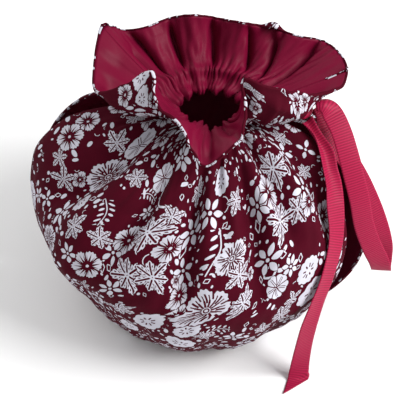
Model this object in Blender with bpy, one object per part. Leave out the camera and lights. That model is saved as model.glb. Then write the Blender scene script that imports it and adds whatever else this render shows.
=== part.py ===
"""Drawstring tea cosy: two printed cloth halves, two lining halves and a ribbon tie.

Metres, +Z up, table top at z = 0. The cosy stands on its gathered hem, and the origin is
on the table under the middle of the whole. +X is the handle side, where the ribbon is
tied, -X the spout side and -Y the front. The tables are measured from the middle of the
hem. The two halves are joined along a seam on each side, and each seam is left open as a
long slit, one for the spout and one for the handle.

Each half is worked out as a sheet of points. `across` runs 0 to 1 over the front half,
from the spout seam to the handle seam, and 1 to 2 over the back half. The rows run from
the inner edge of the hem up over the body to the neck and out to the rim of the ruffle.
"""

import math

import bpy
import numpy as np

MM = 0.001
MIDDLE = (8.0 * MM, 0.0, 0.0)  # middle of the whole, bow included, from the middle of the hem

# Sheets
OUTER_THICKNESS = 1.9 * MM  # printed cloth with its wadding
LINING_THICKNESS = 1.0 * MM
PIECE_GAP = 1.5 * MM  # between the outer cloth and the lining
SEAM_GAP = 0.6 * MM  # between the front half and the back half
HALF_COLUMNS = 44  # points across one half
NORMAL_REACH = 0.035  # share of a half over which the outward direction is evened out

# Neck and ruffle
RUFFLE_ROWS = (0.0, 0.14, 0.3, 0.48, 0.66, 0.84, 1.0)  # share of the way from neck to rim
GATHERS_PER_HALF = 7

# Slits
FLARE_REACH = 24.0  # mm of cloth over which a flared slit edge dies away

# Ribbon
RIBBON_WIDTH = 12.7 * MM
RIBBON_THICKNESS = 1.0 * MM
RIBBON_STEPS = 4  # sections between two rows of a ribbon table
KNOT_HALF_SIZE = (8.0 * MM, 7.0 * MM, 5.0 * MM)
KNOT_CENTRE = (61.0 * MM, -1.0 * MM, 150.5 * MM)

# Body, from the inner edge of the hem to the neck. Heights and radii in mm, seam angles
# in degrees anticlockwise from +X seen from above.
BODY_COLUMNS = ("height", "radius", "lean", "spout_seam", "handle_seam", "gather")
BODY_ROWS = (
    (0.0, 55.0, 0.0, 178.0, 330.0, 0.0),
    (0.0, 61.0, 0.0, 178.0, 330.0, 0.0),
    (3.5, 69.0, 0.0, 178.0, 330.0, 0.5),
    (12.0, 77.0, 0.0, 178.0, 330.0, 0.9),
    (24.0, 86.0, 0.0, 178.0, 331.0, 0.8),
    (38.0, 93.5, 0.0, 177.0, 335.0, 0.5),
    (55.0, 100.0, 0.0, 173.0, 340.0, 0.3),
    (73.0, 102.5, 0.0, 169.0, 344.0, 0.3),
    (91.0, 99.5, 0.5, 167.0, 346.0, 0.6),
    (108.0, 90.0, 1.0, 166.0, 348.0, 1.2),
    (123.5, 73.0, 2.5, 165.0, 350.0, 2.0),
    (135.0, 53.0, 4.0, 165.0, 352.0, 2.2),
    (142.0, 37.0, 5.0, 166.0, 355.0, 1.6),
    (147.5, 27.0, 6.0, 168.0, 357.0, 0.9),
)

# Slits, a row for each body row: half the opening and how far each edge stands out, mm.
SLIT_COLUMNS = (
    "spout_open",
    "spout_front",
    "spout_back",
    "handle_open",
    "handle_front",
    "handle_back",
)
SLIT_ROWS = (
    (0.0, 0.0, 0.0, 0.0, 0.0, 0.0),
    (0.0, 0.0, 0.0, 0.0, 0.0, 0.0),
    (0.0, 0.0, 0.0, 0.0, 0.0, 0.0),
    (0.0, 0.0, 0.0, 0.0, 0.0, 0.0),
    (0.0, 0.0, 0.0, 2.0, 0.5, 2.0),
    (1.5, 4.0, 1.5, 6.0, 1.5, 5.0),
    (7.0, 7.5, 5.0, 9.0, 2.0, 5.0),
    (11.0, 7.0, 6.5, 12.0, 2.0, 5.0),
    (13.0, 9.5, 8.5, 13.0, 3.0, 6.0),
    (14.0, 14.0, 10.0, 12.0, 5.5, 10.0),
    (11.0, 16.0, 13.0, 9.0, 11.5, 12.0),
    (6.0, 11.0, 12.0, 4.0, 10.0, 10.0),
    (1.0, 2.5, 3.0, 1.0, 3.0, 3.0),
    (0.0, 0.0, 0.0, 0.0, 0.0, 0.0),
)

# Rim of the ruffle, a row for each fold, clockwise seen from above over the front half
# and back along the rear: its name, position in mm, and how far the cloth arches up
# between neck and rim.
FRONT_RIM = (
    ("left tip", -58.0, 38.5, 180.5, 0.0),
    ("left side", -62.0, 14.0, 171.0, -1.0),
    ("left low", -59.0, -9.0, 169.0, 1.0),
    ("left front rise", -42.0, -18.0, 181.0, -2.5),
    ("left front peak", -25.0, -20.0, 193.0, -6.0),
    ("valley left wall", -10.0, -33.0, 169.0, 4.0),
    ("valley foot", 3.0, -48.0, 147.0, 13.0),
    ("valley right wall", 15.0, -35.0, 168.0, 5.0),
    ("right front peak", 26.0, -23.0, 190.0, -6.0),
    ("right front top", 37.0, -27.0, 188.0, -8.0),
    ("right front fall", 53.0, -22.0, 180.0, -5.0),
    ("right front low", 68.0, -14.0, 171.0, -2.0),
    ("right front edge", 84.0, -3.0, 168.0, 2.0),
)
BACK_RIM = (
    ("right corner", 88.0, 7.5, 172.0, 2.0),
    ("right back turn", 84.5, 23.0, 173.5, 0.0),
    ("back fold 1", 74.0, 37.0, 173.0, -4.0),
    ("back hollow 1", 59.5, 37.0, 176.5, -6.5),
    ("back fold 2", 44.0, 46.0, 176.0, -8.0),
    ("back hollow 2", 29.0, 43.0, 181.5, -10.0),
    ("back fold 3", 12.0, 52.0, 178.5, -10.0),
    ("back hollow 3", -3.0, 46.5, 185.0, -10.0),
    ("back fold 4", -18.0, 51.0, 179.0, -9.0),
    ("back hollow 4", -33.0, 44.0, 177.0, -6.0),
    ("back fold 5", -46.5, 45.5, 174.0, -3.0),
)

# Main folds of the body: name, angle at its top and at its foot and its width in degrees,
# depth in mm with ridges negative, and the heights in mm of its top and foot.
MAIN_FOLDS = (
    ("under the left ruffle", 212.0, 196.0, 9.0, 5.0, 146.0, 96.0),
    ("left shoulder ridge", 220.0, 213.0, 9.0, -3.0, 128.0, 34.0),
    ("left of the valley", 244.0, 238.0, 7.0, 4.0, 146.0, 96.0),
    ("under the valley", 268.0, 266.0, 6.5, 6.5, 147.0, 90.0),
    ("right of the valley", 288.0, 284.0, 6.0, 3.5, 146.0, 104.0),
    ("right shoulder", 310.0, 301.0, 7.5, 6.0, 147.0, 92.0),
    ("beside the ribbon", 334.0, 329.0, 8.0, 5.0, 146.0, 88.0),
    ("back right", 24.0, 26.0, 8.0, 5.0, 146.0, 92.0),
    ("back 1", 50.0, 52.0, 7.0, 4.0, 146.0, 100.0),
    ("back 2", 76.0, 76.0, 7.5, 5.0, 147.0, 90.0),
    ("back 3", 101.0, 99.0, 7.0, 4.0, 146.0, 102.0),
    ("back 4", 124.0, 121.0, 8.0, 5.0, 147.0, 92.0),
    ("back left", 146.0, 142.0, 7.0, 3.5, 146.0, 100.0),
    ("low on the left", 226.0, 226.0, 24.0, 5.5, 82.0, 6.0),
    ("hem gather 1", 246.0, 246.0, 6.0, 2.5, 62.0, 4.0),
    ("hem gather 2", 276.0, 276.0, 6.0, 2.0, 56.0, 4.0),
    ("hem gather 3", 303.0, 303.0, 6.5, 2.5, 60.0, 4.0),
    ("hem gather 4", 18.0, 18.0, 7.0, 2.5, 60.0, 4.0),
    ("hem gather 5", 62.0, 62.0, 7.0, 2.5, 60.0, 4.0),
    ("hem gather 6", 108.0, 108.0, 7.0, 2.5, 60.0, 4.0),
    ("hem gather 7", 150.0, 150.0, 7.0, 2.5, 60.0, 4.0),
)

# Ribbon pieces, a row for each bend: position x, y, z in mm, then the direction across the
# ribbon's width, then its share of the full width where the ribbon is pinched.
RIBBON_LEAD = (
    (38.5, -1.0, 148.1, 0.00, 1.00, 0.00, 0.50),
    (45.0, -1.0, 148.9, 0.00, 1.00, 0.00, 0.55),
    (52.4, -1.0, 150.2, 0.00, 1.00, 0.00, 0.50),
)
FRONT_TAIL = (
    (65.0, -9.2, 149.5, -0.81, -0.57, -0.15, 0.60),
    (71.0, -16.5, 145.0, -0.70, -0.67, 0.25, 0.50),
    (76.2, -25.2, 138.2, -0.86, -0.51, -0.06, 0.70),
    (78.6, -32.8, 130.6, -0.81, -0.59, 0.02, 0.80),
    (80.9, -37.6, 122.4, -0.83, -0.54, 0.15, 0.92),
    (82.0, -44.0, 112.4, -0.86, -0.44, 0.26, 1.00),
    (82.9, -52.0, 101.6, -0.78, -0.45, 0.43, 1.00),
    (81.8, -61.6, 92.6, -0.71, -0.48, 0.51, 1.00),
    (77.4, -72.6, 78.4, -0.64, -0.50, 0.50, 1.00),
    (72.2, -80.0, 64.6, -0.72, -0.55, 0.35, 1.00),
    (68.2, -84.0, 48.1, -0.85, -0.48, 0.22, 1.00),
    (66.0, -85.5, 30.0, -0.89, -0.44, 0.10, 1.00),
    (64.9, -86.3, 15.0, -0.91, -0.30, 0.05, 1.00),
    (64.4, -87.6, 6.5, -0.95, -0.15, 0.00, 1.00),
    (63.7, -90.6, 1.6, -0.95, 0.10, 0.00, 1.00),
    (62.6, -94.3, 0.5, -0.95, 0.25, 0.00, 1.00),
    (61.3, -98.5, 0.5, -0.95, 0.30, 0.00, 1.00),
)
BIG_LOOP = (
    (70.5, 1.6, 149.3, 0.25, -1.00, 0.10, 0.55),
    (74.2, -1.5, 146.4, -0.35, -0.90, -0.11, 0.80),
    (77.8, -8.0, 138.6, -0.65, -0.74, -0.15, 1.00),
    (84.3, -12.0, 129.3, -0.66, -0.70, -0.27, 1.00),
    (92.2, -15.5, 120.8, -0.74, -0.60, -0.31, 1.00),
    (99.1, -19.5, 110.5, -0.81, -0.53, -0.25, 1.00),
    (105.4, -23.5, 98.4, -0.84, -0.49, -0.23, 1.00),
    (110.5, -27.0, 87.0, -0.88, -0.43, -0.19, 1.00),
    (115.2, -30.0, 73.8, -0.92, -0.35, -0.15, 1.00),
    (118.2, -31.3, 61.4, -0.95, -0.20, -0.05, 1.00),
    (118.7, -32.3, 52.6, -0.98, -0.08, 0.00, 1.00),
    (118.2, -34.8, 47.2, -0.98, 0.05, 0.00, 1.00),
    (117.6, -38.6, 47.6, -0.98, 0.08, 0.00, 1.00),
    (116.4, -40.8, 53.5, -0.98, 0.00, -0.08, 1.00),
    (113.6, -41.6, 61.5, -0.96, -0.15, -0.18, 1.00),
    (108.3, -42.0, 73.5, -0.94, -0.24, -0.22, 1.00),
    (101.5, -40.5, 92.0, -0.93, -0.26, -0.26, 1.00),
    (97.4, -37.8, 110.0, -0.95, -0.26, -0.19, 1.00),
    (93.4, -32.5, 123.2, -0.95, -0.25, -0.16, 1.00),
    (89.0, -24.3, 136.2, -0.95, -0.29, -0.11, 1.00),
    (84.8, -15.5, 146.0, -0.91, -0.38, -0.13, 1.00),
    (79.6, -7.5, 152.9, -0.79, -0.55, -0.27, 1.00),
    (75.0, -4.5, 155.8, -0.50, -0.80, -0.30, 0.80),
    (70.8, -3.5, 154.8, -0.15, -0.98, -0.10, 0.60),
)


def column(rows, names, name):
    """One named column of a table as an array."""
    place = names.index(name)
    return np.array([row[place] for row in rows])


def smooth_step(value):
    """0 below 0, 1 above 1 and a soft rise between."""
    t = np.clip(value, 0.0, 1.0)
    return t * t * (3.0 - 2.0 * t)


def curve_through(knots, values, where, period=None):
    """A smooth curve through `values` at `knots`, read at `where`.

    With a period the curve closes on itself.
    """
    values = np.asarray(values, float)
    if values.ndim == 1:
        return curve_through(knots, values[:, None], where, period)[:, 0]
    knots = np.asarray(knots, float)
    if period:
        knots = np.concatenate([knots[-2:] - period, knots, knots[:3] + period])
        values = np.concatenate([values[-2:], values, values[:3]])
    else:
        knots = np.concatenate([[2 * knots[0] - knots[1]], knots, [2 * knots[-1] - knots[-2]]])
        values = np.concatenate([[2 * values[0] - values[1]], values, [2 * values[-1] - values[-2]]])
    slopes = (values[2:] - values[:-2]) / (knots[2:] - knots[:-2])[:, None]
    inner_knots, inner = knots[1:-1], values[1:-1]
    span = np.clip(np.searchsorted(inner_knots, where, side="right") - 1, 0, len(inner) - 2)
    width = inner_knots[span + 1] - inner_knots[span]
    t = ((where - inner_knots[span]) / width)[:, None]
    width = width[:, None]
    start = (1 + 2 * t) * (1 - t) ** 2 * inner[span]
    end = t * t * (3 - 2 * t) * inner[span + 1]
    leave = t * (1 - t) ** 2 * width * slopes[span]
    arrive = t * t * (t - 1) * width * slopes[span + 1]
    return start + end + leave + arrive


def rim_stations():
    """Where each fold of the rim sits in `across`, spaced by the rim's own length."""
    rows = FRONT_RIM + BACK_RIM
    places = np.array([row[1:4] for row in rows])
    steps = np.linalg.norm(np.roll(places, -1, axis=0) - places, axis=1)
    fronts = len(FRONT_RIM)
    front_share = np.concatenate([[0.0], np.cumsum(steps[:fronts])]) / steps[:fronts].sum()
    back_share = np.concatenate([[0.0], np.cumsum(steps[fronts:])]) / steps[fronts:].sum()
    across = np.concatenate([front_share[:-1], 1.0 + back_share[:-1]])
    return across, np.array([row[1:] for row in rows])


def seam_angle(row, across):
    """Angle in degrees round the body at a body row."""
    spout = column(BODY_ROWS, BODY_COLUMNS, "spout_seam")[row]
    handle = column(BODY_ROWS, BODY_COLUMNS, "handle_seam")[row]
    wrapped = np.mod(across, 2.0)
    front = spout + (handle - spout) * wrapped
    back = handle + (360.0 + spout - handle) * (wrapped - 1.0)
    return np.where(wrapped <= 1.0, front, back)


def body_row(row, across):
    """Points of the outer face at one body row, in mm."""
    angle = np.radians(seam_angle(row, across))
    radius = column(BODY_ROWS, BODY_COLUMNS, "radius")[row]
    lean = column(BODY_ROWS, BODY_COLUMNS, "lean")[row]
    height = np.full_like(angle, column(BODY_ROWS, BODY_COLUMNS, "height")[row])
    return np.stack([lean + radius * np.cos(angle), radius * np.sin(angle), height], axis=-1)


def ruffle_row(share, across):
    """Points of the outer face of the ruffle, `share` of the way out from the neck, in mm."""
    stations, table = rim_stations()
    rim = curve_through(stations, table, np.mod(across, 2.0), period=2.0)
    neck = body_row(len(BODY_ROWS) - 1, across)
    way = rim[:, :3] - neck
    flat = way * (1.0, 1.0, 0.0)
    flat_length = np.linalg.norm(flat, axis=1, keepdims=True)
    length = np.linalg.norm(way, axis=1, keepdims=True)
    lift = np.concatenate([-flat[:, :2] / flat_length * way[:, 2:], flat_length], axis=1) / length
    middle = (neck + rim[:, :3]) / 2 + lift * rim[:, 3:]
    return (1 - share) ** 2 * neck + 2 * share * (1 - share) * middle + share**2 * rim[:, :3]


def smooth_surface(across_rows):
    """The outer face without slits or folds, a row of points for each row of `across`."""
    body = [body_row(i, across) for i, across in enumerate(across_rows[: len(BODY_ROWS)])]
    ruffle_across = across_rows[len(BODY_ROWS) :]
    ruffle = [ruffle_row(share, across) for share, across in zip(RUFFLE_ROWS[1:], ruffle_across)]
    return np.array(body + ruffle)


def slit_values(name):
    """A column of the slit table, closed all the way up the ruffle."""
    return np.concatenate([column(SLIT_ROWS, SLIT_COLUMNS, name), np.zeros(len(RUFFLE_ROWS) - 1)])


def row_lengths():
    """The length of cloth across one half at each row, in mm."""
    even = np.linspace(0.0, 2.0, 4 * HALF_COLUMNS)
    points = smooth_surface([even] * (len(BODY_ROWS) + len(RUFFLE_ROWS) - 1))
    return np.linalg.norm(np.diff(points, axis=1), axis=2).sum(axis=1) / 2


def gather_depth():
    """How deep the fine gathers are at each row, in mm."""
    ruffle = [1.0 + 0.5 * math.sin(math.pi * share) for share in RUFFLE_ROWS[1:]]
    return np.concatenate([column(BODY_ROWS, BODY_COLUMNS, "gather"), ruffle])


def fold_depth(angle, height):
    """How far the main folds draw the body in at a place, in mm."""
    drawn = np.zeros_like(angle)
    for _, top_angle, foot_angle, width, depth, top, foot in MAIN_FOLDS:
        up = np.clip((height - foot) / (top - foot), 0.0, 1.0)
        middle = foot_angle + (top_angle - foot_angle) * up
        off = np.mod(angle - middle + 180.0, 360.0) - 180.0
        reach = smooth_step(up * 2.5) * smooth_step((1.0 - up) * 3.5)
        drawn += depth * reach * np.exp(-((off / width) ** 2))
    return drawn


def half_sheet(first):
    """The face points and directions outward of one half, `first` 0 front or 1 back.

    Rows run up from the hem and columns run across. Everything is in metres.
    """
    lengths = row_lengths()
    share = np.linspace(0.0, 1.0, HALF_COLUMNS)
    start_name, end_name = ("spout", "handle") if first == 0 else ("handle", "spout")
    start = (slit_values(start_name + "_open") + SEAM_GAP / MM / 2) / lengths
    end = (slit_values(end_name + "_open") + SEAM_GAP / MM / 2) / lengths
    across = first + start[:, None] + (1.0 - start - end)[:, None] * share
    points = smooth_surface(across)
    ahead = smooth_surface(across + NORMAL_REACH)
    behind = smooth_surface(across - NORMAL_REACH)
    along = np.gradient(points, axis=0)
    along[:2, :, 2] = 0.0
    outward = np.cross(ahead - behind, along)
    outward /= np.linalg.norm(outward, axis=2, keepdims=True)

    side = "front" if first == 0 else "back"
    from_start = share * lengths[:, None]
    from_end = (1.0 - share) * lengths[:, None]
    flare = slit_values(f"{start_name}_{side}")[:, None] * np.exp(-((from_start / FLARE_REACH) ** 2))
    flare += slit_values(f"{end_name}_{side}")[:, None] * np.exp(-((from_end / FLARE_REACH) ** 2))

    body_rows = len(BODY_ROWS)
    angle = np.array([seam_angle(min(i, body_rows - 1), row) for i, row in enumerate(across)])
    height = np.append(column(BODY_ROWS, BODY_COLUMNS, "height"), np.zeros(len(RUFFLE_ROWS) - 1))
    drawn = fold_depth(angle, height[:, None])
    wave = np.cos(2.0 * math.pi * GATHERS_PER_HALF * across) * gather_depth()[:, None]
    points = points + outward * (flare - drawn + wave)[:, :, None]
    return points * MM, outward


def set_material(piece, name, colour, roughness):
    """Give a piece its own plain material."""
    material = bpy.data.materials.new(name)
    material.use_nodes = True
    shader = material.node_tree.nodes["Principled BSDF"]
    shader.inputs["Base Color"].default_value = (*colour, 1.0)
    shader.inputs["Roughness"].default_value = roughness
    material.diffuse_color = (*colour, 1.0)
    piece.data.materials.append(material)


def add_piece(name, points, faces):
    """A named object from points and faces."""
    mesh = bpy.data.meshes.new(name)
    mesh.from_pydata([tuple(point) for point in np.asarray(points) - MIDDLE], [], faces)
    mesh.validate()
    mesh.update()
    piece = bpy.data.objects.new(name, mesh)
    bpy.context.scene.collection.objects.link(piece)
    return piece


def sheet_faces(rows, columns):
    """Faces of a closed sheet whose outer points come first and inner points second."""
    inner = rows * columns
    faces = []
    for i in range(rows - 1):
        for j in range(columns - 1):
            a = i * columns + j
            b, c, d = a + 1, a + columns + 1, a + columns
            faces += [(a, b, c), (a, c, d)]
            faces += [(inner + c, inner + b, inner + a), (inner + d, inner + c, inner + a)]
    bottom = [(j + 1, j) for j in range(columns - 1)]
    top = [((rows - 1) * columns + j, (rows - 1) * columns + j + 1) for j in range(columns - 1)]
    left = [(i * columns, (i + 1) * columns) for i in range(rows - 1)]
    right = [((i + 2) * columns - 1, (i + 1) * columns - 1) for i in range(rows - 1)]
    for a, b in bottom + top + left + right:
        faces.append((a, b, inner + b, inner + a))
    return faces


def cloth_half(name, first, near, thickness):
    """One cut piece of cloth as a closed sheet, `near` metres in from the outer face."""
    points, outward = half_sheet(first)
    outer = points - outward * near
    inner = outer - outward * thickness
    rows, columns = points.shape[:2]
    both = np.concatenate([outer.reshape(-1, 3), inner.reshape(-1, 3)])
    return add_piece(name, both, sheet_faces(rows, columns))


def ribbon(name, table):
    """A flat ribbon along the rows of a table."""
    rows = np.array(table)
    knots = np.arange(len(rows), dtype=float)
    where = np.linspace(0.0, len(rows) - 1.0, (len(rows) - 1) * RIBBON_STEPS + 1)
    path = curve_through(knots, rows, where)
    centre = path[:, :3] * MM
    centre[:, 2] = np.maximum(centre[:, 2], RIBBON_THICKNESS / 2)
    along = np.gradient(centre, axis=0)
    along /= np.linalg.norm(along, axis=1, keepdims=True)
    across = path[:, 3:6] - along * (path[:, 3:6] * along).sum(axis=1, keepdims=True)
    across /= np.linalg.norm(across, axis=1, keepdims=True)
    face = np.cross(along, across)
    half_width = across * path[:, 6:7] * RIBBON_WIDTH / 2
    half_thick = face * RIBBON_THICKNESS / 2
    left, right = centre - half_width, centre + half_width
    corners = (left + half_thick, right + half_thick, right - half_thick, left - half_thick)
    rings = np.stack(corners, axis=1)
    rings[:, :, 2] = np.maximum(rings[:, :, 2], 0.0)
    faces = [(0, 1, 2, 3)]
    for i in range(len(rings) - 1):
        for j in range(4):
            k = (j + 1) % 4
            faces.append((4 * i + k, 4 * i + j, 4 * i + 4 + j, 4 * i + 4 + k))
    last = 4 * (len(rings) - 1)
    faces.append((last + 3, last + 2, last + 1, last))
    return add_piece(name, rings.reshape(-1, 3), faces)


def knot(name):
    """The tied knot, a small rounded lump with the ribbon's wraps as soft ridges."""
    around, along = 18, 10
    points = []
    for i in range(along):
        polar = math.pi * (i + 0.5) / along
        for j in range(around):
            turn = 2.0 * math.pi * j / around
            swell = 1.0 + 0.06 * math.cos(3.0 * turn + 2.0 * polar)
            flat = math.sin(polar) ** 0.6 * swell
            points.append((
                KNOT_CENTRE[0] + KNOT_HALF_SIZE[0] * math.cos(polar) * swell,
                KNOT_CENTRE[1] + KNOT_HALF_SIZE[1] * flat * math.cos(turn),
                KNOT_CENTRE[2] + KNOT_HALF_SIZE[2] * flat * math.sin(turn),
            ))
    faces = []
    for i in range(along - 1):
        for j in range(around):
            k = (j + 1) % around
            a, b = i * around + j, i * around + k
            faces.append((b, a, a + around, b + around))
    faces.append(tuple(range(around)))
    faces.append(tuple((along - 1) * around + j for j in reversed(range(around))))
    return add_piece(name, points, faces)


def clear_scene():
    """Remove whatever objects the file opened with."""
    for old in list(bpy.data.objects):
        bpy.data.objects.remove(old, do_unlink=True)


def build():
    """Every piece of the cosy."""
    clear_scene()
    behind_outer = OUTER_THICKNESS + PIECE_GAP
    for first, side in enumerate(("front", "back")):
        outer = cloth_half(f"outer_{side}", first, 0.0, OUTER_THICKNESS)
        set_material(outer, f"printed cotton {side}", (0.33, 0.05, 0.11), 0.85)
        lining = cloth_half(f"lining_{side}", first, behind_outer, LINING_THICKNESS)
        set_material(lining, f"plain cotton {side}", (0.30, 0.01, 0.05), 0.85)
    ribbons = (
        ("ribbon_lead", RIBBON_LEAD),
        ("ribbon_front_tail", FRONT_TAIL),
        ("ribbon_loop", BIG_LOOP),
    )
    for name, table in ribbons:
        piece = ribbon(name, table)
        set_material(piece, name.replace("_", " "), (0.45, 0.02, 0.10), 0.6)
    set_material(knot("ribbon_knot"), "ribbon knot", (0.42, 0.02, 0.09), 0.6)


build()
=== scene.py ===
"""Looks of the drawstring tea cosy: printed cloth, plain lining, ribbon tie and studio stage.

Metres, +Z up. The shape tables are in millimetres from the middle of the hem, as a maker
would measure them, and everything is moved by HEM_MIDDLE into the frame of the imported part.
"""

import math

import bmesh
import bpy
import numpy as np
from bpy.props import FloatProperty, FloatVectorProperty, PointerProperty
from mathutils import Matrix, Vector


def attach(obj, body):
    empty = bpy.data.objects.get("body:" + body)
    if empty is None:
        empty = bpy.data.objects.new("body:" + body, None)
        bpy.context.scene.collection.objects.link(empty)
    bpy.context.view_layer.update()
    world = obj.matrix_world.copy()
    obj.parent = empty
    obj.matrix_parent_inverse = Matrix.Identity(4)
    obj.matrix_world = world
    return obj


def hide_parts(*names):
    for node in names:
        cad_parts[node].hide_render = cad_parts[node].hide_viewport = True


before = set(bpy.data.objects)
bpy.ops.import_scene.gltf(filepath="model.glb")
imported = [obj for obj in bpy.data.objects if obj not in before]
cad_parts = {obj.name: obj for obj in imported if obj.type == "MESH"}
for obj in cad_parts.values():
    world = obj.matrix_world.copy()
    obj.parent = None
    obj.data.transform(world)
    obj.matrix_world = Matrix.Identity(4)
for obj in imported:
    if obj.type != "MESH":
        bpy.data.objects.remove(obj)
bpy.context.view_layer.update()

bl_info = {
    "name": "Drawstring tea cosy",
    "version": (1, 0, 0),
    "blender": (4, 5, 0),
    "location": "3D View > Sidebar > Tea cosy",
    "description": "Cloth, lining, ribbon tie and stage of a drawstring tea cosy",
    "category": "Object",
}

MM = 0.001
HEM_MIDDLE = np.array((-8.0, 0.0, 0.0))  # mm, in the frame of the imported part
BODY = "root"

# ---- Shape tables, mm and degrees ----

# From the inner edge of the hem to the neck.
BODY_COLUMNS = ("height", "radius", "lean", "spout_seam", "handle_seam")
BODY_ROWS = (
    (0.0, 55.0, 0.0, 178.0, 330.0),
    (0.0, 61.0, 0.0, 178.0, 330.0),
    (3.5, 69.0, 0.0, 178.0, 330.0),
    (12.0, 77.0, 0.0, 178.0, 330.0),
    (24.0, 86.0, 0.0, 178.0, 330.0),
    (38.0, 93.5, 0.0, 177.0, 331.5),
    (55.0, 100.0, 0.0, 173.0, 334.0),
    (73.0, 102.5, 0.0, 169.0, 337.0),
    (91.0, 99.5, 0.5, 167.0, 340.5),
    (108.0, 90.0, 1.0, 166.0, 345.0),
    (123.5, 73.0, 2.5, 165.0, 350.0),
    (135.5, 52.0, 4.0, 165.0, 352.0),
    (143.0, 33.5, 6.0, 166.0, 355.0),
    (148.0, 20.5, 7.5, 168.0, 357.0),
)
NECK_ROW = len(BODY_ROWS) - 1
RIM_ROW = NECK_ROW + 1  # one more step takes the ruffle out to its rim

# Slits, a row for each body row: half the opening and how far each edge stands out.
SLIT_COLUMNS = (
    "spout_open",
    "spout_front",
    "spout_back",
    "handle_open",
    "handle_front",
    "handle_back",
)
SLIT_ROWS = (
    (0.0, 0.0, 0.0, 0.0, 0.0, 0.0),
    (0.0, 0.0, 0.0, 0.0, 0.0, 0.0),
    (0.0, 0.0, 0.0, 0.0, 0.0, 0.0),
    (0.0, 0.0, 0.0, 0.0, 0.0, 0.0),
    (0.0, 0.0, 0.0, 2.0, 0.5, 2.0),
    (1.5, 4.0, 1.5, 6.0, 1.0, 6.5),
    (7.0, 7.5, 5.0, 9.0, 1.0, 9.0),
    (11.0, 7.0, 6.5, 12.0, 1.0, 9.0),
    (13.0, 9.5, 8.5, 13.0, 2.0, 8.0),
    (14.0, 14.0, 10.0, 12.0, 5.5, 10.0),
    (11.0, 16.0, 13.0, 9.0, 11.5, 12.0),
    (6.0, 11.0, 12.0, 4.0, 10.0, 10.0),
    (1.0, 2.5, 3.0, 1.0, 3.0, 3.0),
    (0.0, 0.0, 0.0, 0.0, 0.0, 0.0),
    (0.0, 0.0, 0.0, 0.0, 0.0, 0.0),
)
FLARE_REACH = 24.0  # cloth over which a flared slit edge dies away
SEAM_GAP = 0.08  # between the front half and the back half

# Rim of the ruffle, a row for each fold: position and how far the cloth arches up between
# neck and rim. Clockwise over the front half, then back along the rear.
FRONT_RIM = (
    (-58.0, 38.5, 180.5, 0.0),
    (-62.0, 14.0, 171.0, -1.0),
    (-59.0, -9.0, 169.0, 1.0),
    (-42.0, -18.0, 181.0, -2.5),
    (-26.3, -20.0, 193.2, -5.0),
    (-25.9, -25.0, 183.5, -2.0),
    (-21.4, -33.0, 175.6, 2.0),
    (-12.3, -38.0, 172.6, 6.0),
    (-4.5, -46.0, 160.1, 10.0),
    (3.4, -51.0, 150.8, 13.0),
    (15.8, -49.0, 158.2, 10.0),
    (24.8, -43.0, 164.9, 6.0),
    (27.6, -35.0, 172.9, 1.0),
    (27.0, -27.0, 181.5, -4.0),
    (26.0, -22.5, 189.9, -6.0),
    (37.0, -27.0, 188.0, -8.0),
    (53.0, -22.0, 180.0, -5.0),
    (68.0, -14.0, 171.0, -2.0),
    (84.0, -3.0, 168.0, 2.0),
)
BACK_RIM = (
    (88.0, 7.5, 172.0, 2.0),
    (84.5, 23.0, 173.5, 0.0),
    (74.0, 37.0, 173.0, -4.0),
    (59.5, 37.0, 176.5, -6.5),
    (44.0, 46.0, 176.0, -8.0),
    (29.0, 43.0, 181.5, -10.0),
    (12.0, 52.0, 178.5, -10.0),
    (-3.0, 46.5, 185.0, -10.0),
    (-18.0, 51.0, 179.0, -9.0),
    (-33.0, 44.0, 177.0, -6.0),
    (-46.5, 45.5, 174.0, -3.0),
)

# Main folds of the body: angle at its top and foot and its width in degrees, depth with
# ridges negative, and the heights of its top and foot.
MAIN_FOLDS = (
    (212.0, 194.0, 8.0, 10.0, 146.0, 90.0),
    (222.0, 213.0, 9.0, -3.5, 128.0, 34.0),
    (245.0, 232.0, 5.0, 9.0, 146.0, 86.0),
    (267.0, 263.0, 4.5, 12.0, 147.0, 76.0),
    (280.0, 278.0, 4.0, 4.0, 146.0, 108.0),
    (297.0, 289.0, 5.0, 11.5, 147.0, 74.0),
    (315.0, 306.0, 4.5, 6.0, 147.0, 96.0),
    (334.0, 326.0, 6.0, 9.0, 146.0, 84.0),
    (24.0, 26.0, 8.0, 5.0, 146.0, 92.0),
    (50.0, 52.0, 7.0, 4.0, 146.0, 100.0),
    (76.0, 76.0, 7.5, 5.0, 147.0, 90.0),
    (101.0, 99.0, 7.0, 4.0, 146.0, 102.0),
    (124.0, 121.0, 8.0, 5.0, 147.0, 92.0),
    (146.0, 142.0, 7.0, 3.5, 146.0, 100.0),
    (226.0, 226.0, 24.0, 5.5, 82.0, 6.0),
    (246.0, 246.0, 6.0, 2.5, 62.0, 4.0),
    (276.0, 276.0, 6.0, 2.0, 56.0, 4.0),
    (303.0, 303.0, 6.5, 2.5, 60.0, 4.0),
    (18.0, 18.0, 7.0, 2.5, 60.0, 4.0),
    (62.0, 62.0, 7.0, 2.5, 60.0, 4.0),
    (108.0, 108.0, 7.0, 2.5, 60.0, 4.0),
    (150.0, 150.0, 7.0, 2.5, 60.0, 4.0),
)

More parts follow.
